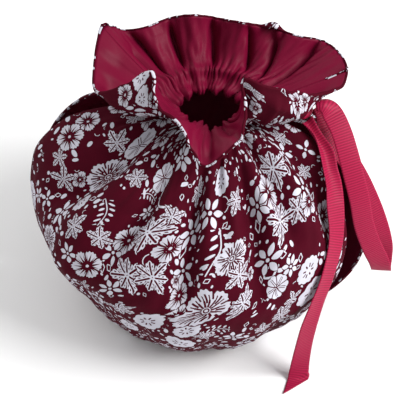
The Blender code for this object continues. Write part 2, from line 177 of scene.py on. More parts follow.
# Folds of the ruffle: place across at the neck and at the rim, width across, depth outwards
# (ridges negative), and the share of the way out where the fold starts and ends.
RUFFLE_FOLDS = (
    (0.180, 0.190, 0.090, 5.0, 0.15, 1.00),
    (0.860, 0.870, 0.065, 9.0, 0.20, 1.00),
    (0.030, 0.045, 0.020, 3.0, 0.10, 0.90),
    (0.115, 0.128, 0.022, 3.0, 0.10, 0.95),
    (0.270, 0.262, 0.016, 2.5, 0.05, 0.80),
    (0.395, 0.425, 0.016, 4.5, 0.00, 0.75),
    (0.500, 0.512, 0.010, 2.4, 0.25, 1.05),
    (0.543, 0.538, 0.011, 3.2, 0.00, 1.05),
    (0.610, 0.600, 0.012, 2.5, 0.00, 0.85),
    (0.680, 0.672, 0.012, 2.0, 0.00, 0.80),
    (0.815, 0.800, 0.016, 3.5, 0.10, 1.00),
    (0.905, 0.895, 0.016, 3.0, 0.00, 0.95),
    (1.080, 1.185, 0.014, 8.0, 0.15, 1.02),
    (1.200, 1.345, 0.013, 9.0, 0.20, 1.00),
    (1.315, 1.445, 0.014, 8.5, 0.25, 1.02),
    (1.545, 1.580, 0.015, 8.0, 0.25, 1.04),
    (1.640, 1.652, 0.010, 1.6, 0.10, 0.60),
    (1.725, 1.755, 0.013, 9.0, 0.25, 1.00),
    (1.830, 1.898, 0.014, 9.0, 0.25, 1.04),
    (1.960, 1.950, 0.012, 4.0, 0.10, 0.80),
)

# Sets of gathers along the neck: seed, count, height above the neck in mm, and ranges of the
# width across, the reach down and up in mm, and the strength.
GATHERS = (
    (41, 17, 0.0, (0.010, 0.017), (14.0, 34.0), (3.0, 7.0), (0.4, 0.8)),
    (63, 34, 12.5, (0.0065, 0.0095), (3.5, 5.5), (4.5, 10.0), (0.60, 1.15)),
)

GATHER_SLANT = 0.0006  # most that a gather leans, in place across for each mm up
HEM_SEED = 77
HEM_GATHERS = 15  # in one half
HEM_WIDTHS = (0.012, 0.02)  # in place across
HEM_HEIGHTS = (18.0, 48.0)
HEM_DEPTHS = (0.8, 1.8)
HEM_BAND = 14.0  # mm of cloth over which the hem's gathers begin

# The band of the ribbon's casing stands out, and the drawn thread above it pulls in: height
# above the neck, reach and depth outwards, in mm.
CASING_BANDS = (
    (5.5, 5.0, 1.7),
    (13.5, 2.8, -1.6),
)

# Where the rim is turned over more widely: place across, width, and added radius in mm.
RIM_TURNS = (
    (1.357, 0.036, 3.5),
    (0.000, 0.025, 0.9),
)

# Ribbon pieces, a row for each bend: position, direction across the width, share of width.
RIBBON_LEAD = (
    (30.0, -1.0, 147.6, 0.00, 1.00, 0.00, 0.50),
    (38.5, -1.0, 148.1, 0.00, 1.00, 0.00, 0.50),
    (45.0, -1.0, 148.9, 0.00, 1.00, 0.00, 0.55),
    (52.4, -1.0, 150.2, 0.00, 1.00, 0.00, 0.50),
)
FRONT_TAIL = (
    (65.0, -9.2, 149.5, -0.81, -0.57, -0.15, 0.60),
    (71.0, -16.5, 145.0, -0.70, -0.67, 0.25, 0.50),
    (76.2, -25.2, 138.2, -0.86, -0.51, -0.06, 0.70),
    (78.6, -32.8, 130.6, -0.81, -0.59, 0.02, 0.80),
    (80.9, -37.6, 122.4, -0.83, -0.54, 0.15, 0.92),
    (82.0, -44.0, 112.4, -0.86, -0.44, 0.26, 1.00),
    (82.9, -52.0, 101.6, -0.78, -0.45, 0.43, 1.00),
    (81.8, -61.6, 92.6, -0.71, -0.48, 0.51, 1.00),
    (77.4, -72.6, 78.4, -0.64, -0.50, 0.50, 1.00),
    (72.2, -80.0, 64.6, -0.72, -0.55, 0.35, 1.00),
    (68.2, -84.0, 48.1, -0.85, -0.48, 0.22, 1.00),
    (66.0, -85.5, 30.0, -0.89, -0.44, 0.10, 1.00),
    (64.9, -86.3, 15.0, -0.91, -0.30, 0.05, 1.00),
    (64.4, -87.6, 6.5, -0.95, -0.15, 0.00, 1.00),
    (63.7, -90.6, 1.6, -0.95, 0.10, 0.00, 1.00),
    (62.6, -94.3, 0.5, -0.95, 0.25, 0.00, 1.00),
    (61.3, -98.5, 0.5, -0.95, 0.30, 0.00, 1.00),
)
BIG_LOOP = (
    (70.5, 1.6, 149.3, 0.25, -1.00, 0.10, 0.55),
    (74.2, -1.5, 146.4, -0.35, -0.90, -0.11, 0.80),
    (77.8, -8.0, 138.6, -0.65, -0.74, -0.15, 1.00),
    (84.3, -12.0, 129.3, -0.66, -0.70, -0.27, 1.00),
    (92.2, -15.5, 120.8, -0.74, -0.60, -0.31, 1.00),
    (99.1, -19.5, 110.5, -0.81, -0.53, -0.25, 1.00),
    (105.4, -23.5, 98.4, -0.84, -0.49, -0.23, 1.00),
    (110.5, -27.0, 87.0, -0.88, -0.43, -0.19, 1.00),
    (115.2, -30.0, 73.8, -0.92, -0.35, -0.15, 1.00),
    (118.2, -31.3, 61.4, -0.95, -0.20, -0.05, 1.00),
    (118.7, -32.3, 52.6, -0.98, -0.08, 0.00, 1.00),
    (118.2, -34.8, 47.2, -0.98, 0.05, 0.00, 1.00),
    (117.6, -38.6, 47.6, -0.98, 0.08, 0.00, 1.00),
    (116.4, -40.8, 53.5, -0.98, 0.00, -0.08, 1.00),
    (113.6, -41.6, 61.5, -0.96, -0.15, -0.18, 1.00),
    (108.3, -42.0, 73.5, -0.94, -0.24, -0.22, 1.00),
    (101.5, -40.5, 92.0, -0.93, -0.26, -0.26, 1.00),
    (97.4, -37.8, 110.0, -0.95, -0.26, -0.19, 1.00),
    (93.4, -32.5, 123.2, -0.95, -0.25, -0.16, 1.00),
    (89.0, -24.3, 136.2, -0.95, -0.29, -0.11, 1.00),
    (84.8, -15.5, 146.0, -0.91, -0.38, -0.13, 1.00),
    (79.6, -7.5, 152.9, -0.79, -0.55, -0.27, 1.00),
    (75.0, -4.5, 155.8, -0.50, -0.80, -0.30, 0.80),
    (70.8, -3.5, 154.8, -0.15, -0.98, -0.10, 0.60),
)
KNOT_CENTRE = (61.0, -1.0, 150.5)
KNOT_HALF_SIZE = (8.0, 7.0, 5.0)
KNOT_CLOTH = (0.012, 0.030)  # m of ribbon round the knot and along it
KNOT_GRID = {"u_segments": 48, "v_segments": 32}
WRAPS = 3.0  # round the knot
WRAP_DEPTH = 0.08  # share of the knot's half size
WRAP_SLANT = 4.0  # radians over the knot's half size
WAIST = (0.10, 0.16)  # how deep and how wide, as shares of the knot's half size

# Cut size of one half of the cloth, mm.
CUT_WIDTH = 322.0

# Points across and up each half, and across a ribbon and between its table's rows.
PRINTED_GRID = (232, 186)
LINING_GRID = (200, 170)
RIBBON_COLUMNS = 13
RIBBON_STEPS = 8

# How finely lengths of cloth are measured: rows up, places round and places across.
PROFILE_ROWS = 561
PROFILE_PLACES = 48
LENGTH_PLACES = 181

# The cloth's shape.
WAY_REACH = 0.035  # place across, to each side, over which the way outward is taken
LEVEL_HEM_ROWS = 1.2  # rows of the body table over which the hem lies level
FOLD_ONSETS = (2.5, 3.5)  # how steeply a main fold begins at its foot and at its top
RUFFLE_ONSETS = (0.25, 0.22)  # share of the way out over which a ruffle's fold begins and ends
RUFFLE_SHARPNESS = 1.2  # power of the ruffle's folds, 2 for a bell and 1 for a sharp ridge
WAVES = 7  # soft waves across one half
WAVE_DEPTH = 0.4  # mm
NECK_WAVE_DEPTH = 1.4  # mm more at the neck
NECK_ZONE = 60.0  # mm of cloth to each side of the neck with deeper waves
RUFFLE_CALM = (0.85, 0.35)  # share of a wave lost on the ruffle, and share out where it's gone
HEM_RISE = 12.0  # mm of cloth over which the waves begin above the hem
SWELL_SEED = 7
SWELL_DEPTH = 0.5  # mm
RUFFLE_SWELL_DEPTH = 0.15  # mm more on the ruffle
SWELL_RISE = (20.0, 9.0)  # mm of cloth over which swells begin at the hem and at the seams
EVEN_HIDING = 0.12  # how much cloth is hidden outside the folds, against their depth in mm
GATHER_HIDING = 1.6  # how much more a gather hides than a fold of the same depth
BACK_SHIFT = 1.37  # cut widths by which the back's print is moved on
ROLL_STEPS = 6  # faces round a rolled edge
ROLL_TURN = math.radians(170.0)  # how far round a rolled edge goes
SHUT_ROLL = 0.12  # share of its roll that an edge keeps where the seam is shut
OPEN_TURN = 2.0  # mm of a slit's half opening from which its edge is turned over in full
RIM_CORNER = (0.72, 0.15)  # share out where the handle side's rim opens, and over what share
CORNER_OPENING = 3.0  # mm of half opening that this corner counts as
WADDING_EDGE = (4.0, 30.0)  # mm from the seams to where the wadding begins, and its rise
WADDING_TOP = (200.0, 30.0)  # mm of cloth up to where the wadding ends, and its fall
CASING_ROOM = 0.7  # mm, how much further in the lining lies at the ribbon's casing
CASING_PLACE = (6.0, 14.0)  # mm, the casing's height above the neck, and its reach
BOW = (0.25, 0.34)  # mm that a ribbon bows across, and share of its width where it's pinched
TAIL_CUT = (8.0, 16.0)  # mm, slant of the tail's cut end and how far back it is felt
CUT_MIDDLE = 0.35  # across the tail, from -1 to 1, where the cut crosses its full length

# Lowest heights in mm: of the lining, of a ribbon's middle and of its sheet.
LINING_FLOOR = 0.6
RIBBON_FLOOR = 0.4
RIBBON_SHEET_FLOOR = 0.35

# ---- Stage, metres, and the lens in mm ----

# Soft lights: place, what they face and size.
KEY_BOX = ((0.94, -0.36, 0.94), (HEM_MIDDLE[0] * MM, 0.0, 0.09), 0.70)
FILL_BOX = ((-0.85, 0.55, 0.80), (-0.25, 0.0, 0.0), 0.8)
WORLD_LIGHT = 0.54
FLOOR_HALF_SIZE = 4.0

CAMERA_AIM = 0.075  # height that it looks at
CAMERA_SLOPE = math.radians(45.0)
CAMERA_DISTANCE = 0.700
SENSOR = 36.0
LENS = 1077.0 / 400.0 * SENSOR
LENS_SHIFT = (0.005, -0.0075)


# ---- Settings ----


class ClothSettings(bpy.types.PropertyGroup):
    """Sizes and colours of the two cloths."""

    thickness: FloatProperty(
        name="Thickness",
        description="Thickness of the printed cloth and of the lining",
        default=0.00045,
        unit="LENGTH",
    )
    lining_depth: FloatProperty(
        name="Lining depth",
        description="From the face of the printed cloth to the lining at the edges",
        default=0.0011,
        unit="LENGTH",
    )
    wadding: FloatProperty(
        name="Wadding",
        description="How much further in the lining lies over the body",
        default=0.0022,
        unit="LENGTH",
    )
    edge_roll: FloatProperty(
        name="Edge roll",
        description="Radius that the printed cloth turns in at every edge",
        default=0.0010,
        unit="LENGTH",
    )
    gather_depth: FloatProperty(
        name="Gather depth",
        description="Depth of the small gathers at the neck",
        default=0.0021,
        unit="LENGTH",
    )
    ground: FloatVectorProperty(
        name="Ground",
        description="Colour of the printed cloth between the flowers",
        subtype="COLOR",
        default=(0.070, 0.0022, 0.0105),
    )
    motif: FloatVectorProperty(
        name="Print",
        description="Colour of the printed flowers and leaves",
        subtype="COLOR",
        default=(0.595, 0.590, 0.665),
    )
    lining: FloatVectorProperty(
        name="Lining",
        description="Colour of the plain lining",
        subtype="COLOR",
        default=(0.170, 0.0034, 0.0270),
    )


class RibbonSettings(bpy.types.PropertyGroup):
    """Sizes and colours of the ribbon tie."""

    width: FloatProperty(
        name="Width",
        description="Width of the ribbon",
        default=0.0127,
        unit="LENGTH",
    )
    thickness: FloatProperty(
        name="Thickness",
        description="Thickness of the ribbon",
        default=0.0006,
        unit="LENGTH",
    )
    rib_pitch: FloatProperty(
        name="Rib pitch",
        description="From one crosswise rib to the next",
        default=0.0016,
        unit="LENGTH",
    )
    colour: FloatVectorProperty(
        name="Colour",
        description="Colour of the ribbon",
        subtype="COLOR",
        default=(0.38, 0.0105, 0.056),
    )


class StageSettings(bpy.types.PropertyGroup):
    """Floor and light."""

    floor: FloatVectorProperty(
        name="Floor",
        description="Colour of the floor",
        subtype="COLOR",
        default=(0.92, 0.92, 0.92),
    )
    key_power: FloatProperty(
        name="Key light",
        description="Power of the large light above the right",
        default=23.0,
        unit="POWER",
    )
    fill_power: FloatProperty(
        name="Fill light",
        description="Power of the soft light behind the left",
        default=6.0,
        unit="POWER",
    )


# ---- Shape of the cloth ----


def column(rows, names, name):
    """One named column of a table as an array."""
    place = names.index(name)
    return np.array([row[place] for row in rows])


def smooth_step(value):
    """0 below 0, 1 above 1 and a soft rise between."""
    t = np.clip(value, 0.0, 1.0)
    return t * t * (3.0 - 2.0 * t)


def bell(value):
    """1 at 0, falling softly to 0 on both sides."""
    return np.exp(-(value**2))


def unit(vectors):
    """Vectors brought to length 1."""
    return vectors / np.linalg.norm(vectors, axis=-1, keepdims=True)


def offset_round(place, middle, whole):
    """From a middle to a place, the short way round a circle of this whole."""
    return np.mod(place - middle + whole / 2, whole) - whole / 2


def curve_through(knots, values, where, period=None):
    """A smooth curve through values at knots, read at where; a period closes it."""
    values = np.asarray(values, float)
    where = np.asarray(where, float)
    if values.ndim == 1:
        return curve_through(knots, values[:, None], where, period)[..., 0]
    knots = np.asarray(knots, float)
    if period:
        knots = np.concatenate([knots[-2:] - period, knots, knots[:3] + period])
        values = np.concatenate([values[-2:], values, values[:3]])
    else:
        knots = np.concatenate([[2 * knots[0] - knots[1]], knots, [2 * knots[-1] - knots[-2]]])
        before, after = 2 * values[0] - values[1], 2 * values[-1] - values[-2]
        values = np.concatenate([[before], values, [after]])
    slopes = (values[2:] - values[:-2]) / (knots[2:] - knots[:-2])[:, None]
    inner_knots, inner = knots[1:-1], values[1:-1]
    span = np.clip(np.searchsorted(inner_knots, where, side="right") - 1, 0, len(inner) - 2)
    width = (inner_knots[span + 1] - inner_knots[span])[..., None]
    t = (where[..., None] - inner_knots[span][..., None]) / width
    start = (1 + 2 * t) * (1 - t) ** 2 * inner[span]
    end = t * t * (3 - 2 * t) * inner[span + 1]
    leave = t * (1 - t) ** 2 * width * slopes[span]
    arrive = t * t * (t - 1) * width * slopes[span + 1]
    return start + end + leave + arrive


def rim_stations():
    """Where each fold of the rim sits in `across`, spaced by the rim's own length."""
    table = np.array(FRONT_RIM + BACK_RIM)
    steps = np.linalg.norm(np.roll(table[:, :3], -1, axis=0) - table[:, :3], axis=1)
    fronts = len(FRONT_RIM)
    front_share = np.concatenate([[0.0], np.cumsum(steps[:fronts])]) / steps[:fronts].sum()
    back_share = np.concatenate([[0.0], np.cumsum(steps[fronts:])]) / steps[fronts:].sum()
    return np.concatenate([front_share[:-1], 1.0 + back_share[:-1]]), table


def body_value(name, row):
    """A column of the body table read between its rows."""
    values = column(BODY_ROWS, BODY_COLUMNS, name)
    return curve_through(np.arange(len(values)), values, np.clip(row, 0.0, NECK_ROW))


def slit_value(name, row):
    """A column of the slit table read between its rows."""
    values = column(SLIT_ROWS, SLIT_COLUMNS, name)
    return np.maximum(curve_through(np.arange(len(values)), values, row), 0.0)


def seam_angle(row, across):
    """Angle in degrees round the body."""
    spout = body_value("spout_seam", row)
    handle = body_value("handle_seam", row)
    wrapped = np.mod(across, 2.0)
    front = spout + (handle - spout) * wrapped
    back = handle + (360.0 + spout - handle) * (wrapped - 1.0)
    return np.where(wrapped <= 1.0, front, back)


def body_place(row, across):
    """Points of the smooth outer face of the body."""
    angle = np.radians(seam_angle(row, across))
    radius = body_value("radius", row)
    x = body_value("lean", row) + radius * np.cos(angle)
    height = np.maximum(body_value("height", row), 0.0)
    return np.stack(np.broadcast_arrays(x, radius * np.sin(angle), height), axis=-1)


def ruffle_place(share, across):
    """Points of the smooth outer face of the ruffle, `share` of the way out."""
    stations, table = rim_stations()
    rim = curve_through(stations, table, np.mod(across, 2.0), period=2.0)
    neck = body_place(np.full_like(share, NECK_ROW), across)
    way = rim[..., :3] - neck
    flat = way * (1.0, 1.0, 0.0)
    flat_length = np.linalg.norm(flat, axis=-1, keepdims=True)
    length = np.linalg.norm(way, axis=-1, keepdims=True)
    lift = np.concatenate([-flat[..., :2] / flat_length * way[..., 2:], flat_length], axis=-1)
    middle = (neck + rim[..., :3]) / 2 + lift / length * rim[..., 3:]
    share = share[..., None]
    return (1 - share) ** 2 * neck + 2 * share * (1 - share) * middle + share**2 * rim[..., :3]


def smooth_surface(row, across):
    """The outer face without slits or folds at every row and place across."""
    on_ruffle = row > NECK_ROW
    body = body_place(np.minimum(row, NECK_ROW), across)
    ruffle = ruffle_place(np.clip(row - NECK_ROW, 0.0, 1.0), across)
    return np.where(on_ruffle[..., None], ruffle, body)


def profile():
    """Rows up one half and the length of cloth from the hem to each, in mm."""
    row = np.linspace(0.0, RIM_ROW, PROFILE_ROWS)
    across = np.linspace(0.0, 2.0, PROFILE_PLACES + 1)[:-1]
    points = smooth_surface(row[:, None] + 0 * across, across + 0 * row[:, None])
    steps = np.linalg.norm(np.diff(points, axis=0), axis=2).mean(axis=1)
    return row, np.concatenate([[0.0], np.cumsum(steps)])


def neck_length():
    """The length of cloth from the hem's inner edge to the neck, in mm."""
    knots, lengths_up = profile()
    return np.interp(NECK_ROW, knots, lengths_up)


def row_lengths(row):
    """The length of cloth across one half at each row, in mm."""
    across = np.linspace(0.0, 2.0, LENGTH_PLACES)
    points = smooth_surface(row[:, None] + 0 * across, across + 0 * row[:, None])
    return np.linalg.norm(np.diff(points, axis=1), axis=2).sum(axis=1) / 2


def fold_depth(angle, height):
    """How far the main folds draw the body in at a place, in mm."""
    drawn = np.zeros(np.broadcast(angle, height).shape)
    for top_angle, foot_angle, width, depth, top, foot in MAIN_FOLDS:
        up = np.clip((height - foot) / (top - foot), 0.0, 1.0)
        middle = foot_angle + (top_angle - foot_angle) * up
        off = offset_round(angle, middle, 360.0)
        reach = smooth_step(up * FOLD_ONSETS[0]) * smooth_step((1.0 - up) * FOLD_ONSETS[1])
        drawn += depth * reach * bell(off / width)
    return drawn


def ruffle_depth(share, across):
    """How far the folds of the ruffle push the cloth outwards at a place, in mm."""
    pushed = np.zeros(np.broadcast(share, across).shape)
    for neck_place, rim_place, width, depth, start, end in RUFFLE_FOLDS:
        middle = neck_place + (rim_place - neck_place) * share
        off = offset_round(across, middle, 2.0)
        begun = smooth_step((share - start) / RUFFLE_ONSETS[0])
        reach = begun * smooth_step((end - share) / RUFFLE_ONSETS[1])
        pushed += depth * reach * np.exp(-np.abs(off / width) ** RUFFLE_SHARPNESS)
    return pushed


def uneven_places(chance, first, count):
    """Places across one half, about evenly apart."""
    return first + (np.arange(count) + 0.5 + chance.uniform(-0.3, 0.3, count)) / count


def small_gathers(first, across, from_neck):
    """Depth of the gathers at the neck, each with its own width and reach, from 0 to about 1.

    A coarse set runs down the body, and a fine set of puckers sits along the drawn thread.
    """
    depth = np.zeros(across.shape)
    for seed, count, middle, widths, downs, ups, strengths in GATHERS:
        chance = np.random.default_rng(seed + first)
        places = uneven_places(chance, first, count)
        above = from_neck - middle
        for place in places:
            width = chance.uniform(*widths)
            down = chance.uniform(*downs)
            up = chance.uniform(*ups)
            slant = chance.uniform(-GATHER_SLANT, GATHER_SLANT)
            strength = chance.uniform(*strengths)
            reach = np.where(above < 0, -above / down, above / up)
            off = (across - place - slant * above) / (width * (1.0 + 0.5 * reach))
            depth += strength * bell(off) * bell(reach)
    return depth


def wrinkles(seed, u, v, count=26, long=34.0, wide=11.0):
    """Low uneven swells in the cloth, longer up the cloth than across it, about -1 to 1."""
    chance = np.random.default_rng(seed)
    total = np.zeros(np.broadcast(u, v).shape)
    for _ in range(count):
        turn = chance.normal(0.0, 0.5)
        across = 2 * math.pi / (wide * chance.uniform(0.7, 2.2))
        along = 2 * math.pi / (long * chance.uniform(0.7, 2.2)) * math.copysign(1, turn)
        total += np.sin(across * u + along * v * abs(turn) * 2 + chance.uniform(0, 7))
    return total / math.sqrt(count) / 1.6


def outward_ways(points, row, across):
    """The direction outward at each point, taken over a short way to both sides."""
    row_grid = row + 0 * across
    after = smooth_surface(row_grid, across + WAY_REACH)
    sideways = after - smooth_surface(row_grid, across - WAY_REACH)
    along = np.gradient(points, axis=0)
    along[row[:, 0] < LEVEL_HEM_ROWS, :, 2] = 0.0
    return unit(even_out(unit(np.cross(sideways, along)), 3))


def slit_flare(ends, side, row, from_ends):
    """How far the cloth stands out beside its two slits, in mm."""
    flares = (
        slit_value(f"{name}_{side}", row) * bell(away / FLARE_REACH)
        for name, away in zip(ends, from_ends)
    )
    return next(flares) + next(flares)


def waves(across, on_ruffle, from_neck, v):
    """Soft even waves round the body, deeper near the neck and mild on the ruffle, in mm."""
    near_neck = np.clip(1.0 - np.abs(from_neck) / NECK_ZONE, 0.0, 1.0)
    wave = np.cos(2.0 * math.pi * WAVES * across) * (WAVE_DEPTH + NECK_WAVE_DEPTH * near_neck)
    wave = wave * (1.0 - RUFFLE_CALM[0] * smooth_step(on_ruffle / RUFFLE_CALM[1]))
    return wave * smooth_step(v / HEM_RISE)


def swells(first, share, row, v, from_edge):
    """Low uneven swells, none at the hem and at the seams, in mm."""
    depth = SWELL_DEPTH + RUFFLE_SWELL_DEPTH * (row > NECK_ROW)
    swell = wrinkles(SWELL_SEED + first, share * CUT_WIDTH, v) * depth
    swell = swell * smooth_step((v - HEM_RISE / 2) / SWELL_RISE[0])
    return swell * smooth_step(from_edge / SWELL_RISE[1])


def cut_across(first, points, valley):
    """Each point's place across the flat cut: what the folds hide lies in their valleys."""
    steps = np.linalg.norm(np.diff(points, axis=1), axis=2)
    excess = np.maximum(CUT_WIDTH - steps.sum(axis=1, keepdims=True), 0.0)
    weight = steps * (EVEN_HIDING + (valley[:, 1:] + valley[:, :-1]) / 2)
    weight /= weight.sum(axis=1, keepdims=True)
    start = np.zeros((len(points), 1))
    u = np.concatenate([start, np.cumsum(steps + excess * weight, axis=1)], axis=1)
    u *= CUT_WIDTH / u[:, -1:]
    return u + (first * BACK_SHIFT) * CUT_WIDTH


def turned_edges(ends, row, on_ruffle):
    """How far each row is turned over at its two ends, 0 where the seam is shut, up to 1."""
    edges = []
    for name in ends:
        corner = CORNER_OPENING * smooth_step((on_ruffle - RIM_CORNER[0]) / RIM_CORNER[1])
        edges.append(slit_value(name + "_open", row) + corner * (name == "handle"))
    return smooth_step(np.concatenate(edges, axis=1) / OPEN_TURN)


def cloth_shape(first, columns, rows, gather):
    """One half of the cloth: its points, directions outward and place in the cut, in mm,
    and how far each row is turned over at its start and its end, 0 where the seam is shut.

    Rows run up from the hem's inner edge to the rim, columns from the first seam to the
    second. `first` is 0 for the front half and 1 for the back half.
    """
    knots, lengths_up = profile()
    v = np.linspace(0.0, lengths_up[-1], rows)[:, None]
    row = np.interp(v[:, 0], lengths_up, knots)[:, None]
    lengths = row_lengths(row[:, 0])[:, None]
    share = np.linspace(0.0, 1.0, columns)[None, :]
    side, ends = ("front", ("spout", "handle")) if first == 0 else ("back", ("handle", "spout"))
    start, end = ((slit_value(name + "_open", row) + SEAM_GAP / 2) / lengths for name in ends)
    across = first + start + (1.0 - start - end) * share
    row_grid = row + 0 * across
    points = smooth_surface(row_grid, across)
    outward = outward_ways(points, row, across)
    points = even_out(points, 2, keep=row_grid < NECK_ROW - 2.0)

    from_neck = v - neck_length()
    from_ends = (share * lengths, (1.0 - share) * lengths)
    on_ruffle = np.clip(row - NECK_ROW, 0.0, 1.0)
    angle = seam_angle(np.minimum(row, NECK_ROW), across)
    height = np.where(row > NECK_ROW, 0.0, body_value("height", row))
    flare = slit_flare(ends, side, row, from_ends)
    drawn = fold_depth(angle, height)
    pushed = ruffle_depth(on_ruffle, across)
    for middle, reach, depth in CASING_BANDS:
        pushed = pushed + depth * bell((from_neck - middle) / reach)
    wave = waves(across, on_ruffle, from_neck, v)
    gathers = small_gathers(first, across, from_neck) * gather / MM
    hem = hem_gathers(first, across, v)
    swell = swells(first, share, row, v, np.minimum(*from_ends))
    moved = flare - drawn + wave - gathers - hem + swell + pushed
    points = points + outward * moved[:, :, None]

    hidden = np.maximum(drawn, 0.0) + gathers * GATHER_HIDING
    valley = hidden + np.maximum(-wave, 0.0) + hem + pushed
    u = cut_across(first, points, valley)
    return points, outward, u, np.broadcast_to(v, u.shape), turned_edges(ends, row, on_ruffle)


def hem_gathers(first, across, v):
    """Depth of the gathers that the hem's drawn thread makes, in mm."""
    chance = np.random.default_rng(HEM_SEED + first)
    depth = np.zeros(np.broadcast(across, v).shape)
    for place in uneven_places(chance, first, HEM_GATHERS):
        width = chance.uniform(*HEM_WIDTHS)
        up = chance.uniform(*HEM_HEIGHTS)
        off = (across - place) / width
        rise = smooth_step(v / HEM_BAND) * bell(v / up)
        depth += chance.uniform(*HEM_DEPTHS) * bell(off) * rise
    return depth


def even_out(values, passes, keep=None):
    """Each row softened with the rows above and below it; rows in `keep` stay."""
    for _ in range(passes):
        soft = values.copy()
        soft[1:-1] = (values[:-2] + 2.0 * values[1:-1] + values[2:]) / 4.0
        values = soft if keep is None else np.where(keep[..., None], values, soft)
    return values


# ---- Meshes ----


def grid_piece(name, columns, rows):
    """A flat grid made into an object, with its vertices sorted row by row."""
    grid = bmesh.new()
    bmesh.ops.create_grid(grid, x_segments=columns - 1, y_segments=rows - 1, size=0.5)
    mesh = bpy.data.meshes.new(name)
    grid.to_mesh(mesh)
    grid.free()
    piece = bpy.data.objects.new(name, mesh)
    bpy.context.scene.collection.objects.link(piece)
    flat = np.empty(len(mesh.vertices) * 3)
    mesh.vertices.foreach_get("co", flat)
    flat = flat.reshape(-1, 3) + 0.5
    i = np.rint(flat[:, 1] * (rows - 1)).astype(int)
    j = np.rint(flat[:, 0] * (columns - 1)).astype(int)
    return piece, i, j


def shape_grid(piece, i, j, points):
    """Put a grid piece's vertices at the points of a shape in metres."""
    piece.data.vertices.foreach_set("co", points[i, j].astype(np.float32).ravel())
    piece.data.update()
    for face in piece.data.polygons:
        face.use_smooth = True


def corner_values(mesh, i, j, values):
    """Values of a shape's points at each corner of the mesh."""
    corners = np.empty(len(mesh.loops), dtype=np.int32)
    mesh.loops.foreach_get("vertex_index", corners)
    return values[i[corners], j[corners]]


def add_cut_map(piece, i, j, u, v):
    """A map of the piece's place in the flat cut, in metres."""
    mesh = piece.data
    layer = mesh.uv_layers.new(name="cut")
    pairs = np.stack([corner_values(mesh, i, j, u), corner_values(mesh, i, j, v)], axis=1)
    layer.data.foreach_set("uv", (pairs * MM).astype(np.float32).ravel())


def finish_piece(piece, material, thickness, offset):
    """Give a cloth or ribbon piece its thickness, finish and place in the frame."""
    solid = piece.modifiers.new("thickness", "SOLIDIFY")
    solid.thickness = thickness
    solid.offset = offset
    solid.use_even_offset = False
    piece.data.materials.append(material)
    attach(piece, BODY)


def rolled(points, outward, u, v, radii, rim_radius, steps):
    """Carry a cloth's edges on round a small roll, so that its print turns over the lining.

    Adds `steps` rows past the rim and `steps` columns past each side. `radii` holds the
    roll's radius at each row, once for the start and once for the end, and `rim_radius`
    the roll's radius at each place along the rim.
    """
    radii = np.concatenate([radii, np.repeat(radii[-1:], steps, axis=0)])
    # For the rim, the start and the end: the axis that grows, its last place, the one that
    # the roll's way is taken from, the radius, and the way of the cloth across and up.
    edges = (
        (0, -1, -3, rim_radius, 0.0, 1.0),
        (1, 0, 2, radii[:, 0], -1.0, 0.0),
        (1, -1, -3, radii[:, 1], 1.0, 0.0),
    )
    for axis, last, near, radius, way_u, way_v in edges:
        edge, normal, edge_u, edge_v = (part.take(last, axis) for part in (points, outward, u, v))
        ahead = edge - points.take(near, axis)
        ahead = ahead - normal * (ahead * normal).sum(axis=-1, keepdims=True)
        ahead /= np.maximum(np.linalg.norm(ahead, axis=-1, keepdims=True), 1e-9)
        rings = []
        for step in range(1, steps + 1):
            turn = ROLL_TURN * step / steps
            over = ahead * math.sin(turn) - normal * (1.0 - math.cos(turn))
            run = radius * turn
            ring = edge + radius[:, None] * over
            rings.append((ring, normal, edge_u + way_u * run, edge_v + way_v * run))
        order = -1 if last == 0 else 1
        grown = [np.stack(parts, axis=axis) for parts in zip(*rings[::order])]
        points, outward, u, v = (
            np.concatenate(pair[::order], axis=axis) for pair in zip((points, outward, u, v), grown)
        )
    return points, outward, u, v


# ---- The print ----

REPEAT = (322.0, 266.0)  # mm, one repeat of the print across and up the cloth

# Motif kinds: each motif is drawn in a circle of radius 1 round its own middle.
KINDS = {"blossom": 1, "rayed": 2, "rosette": 3, "cut": 4, "leaf": 5, "daisy": 6, "sprig": 7}
SMALL_KINDS = {"oval": 1, "outline": 2, "dot": 3, "curl": 4}

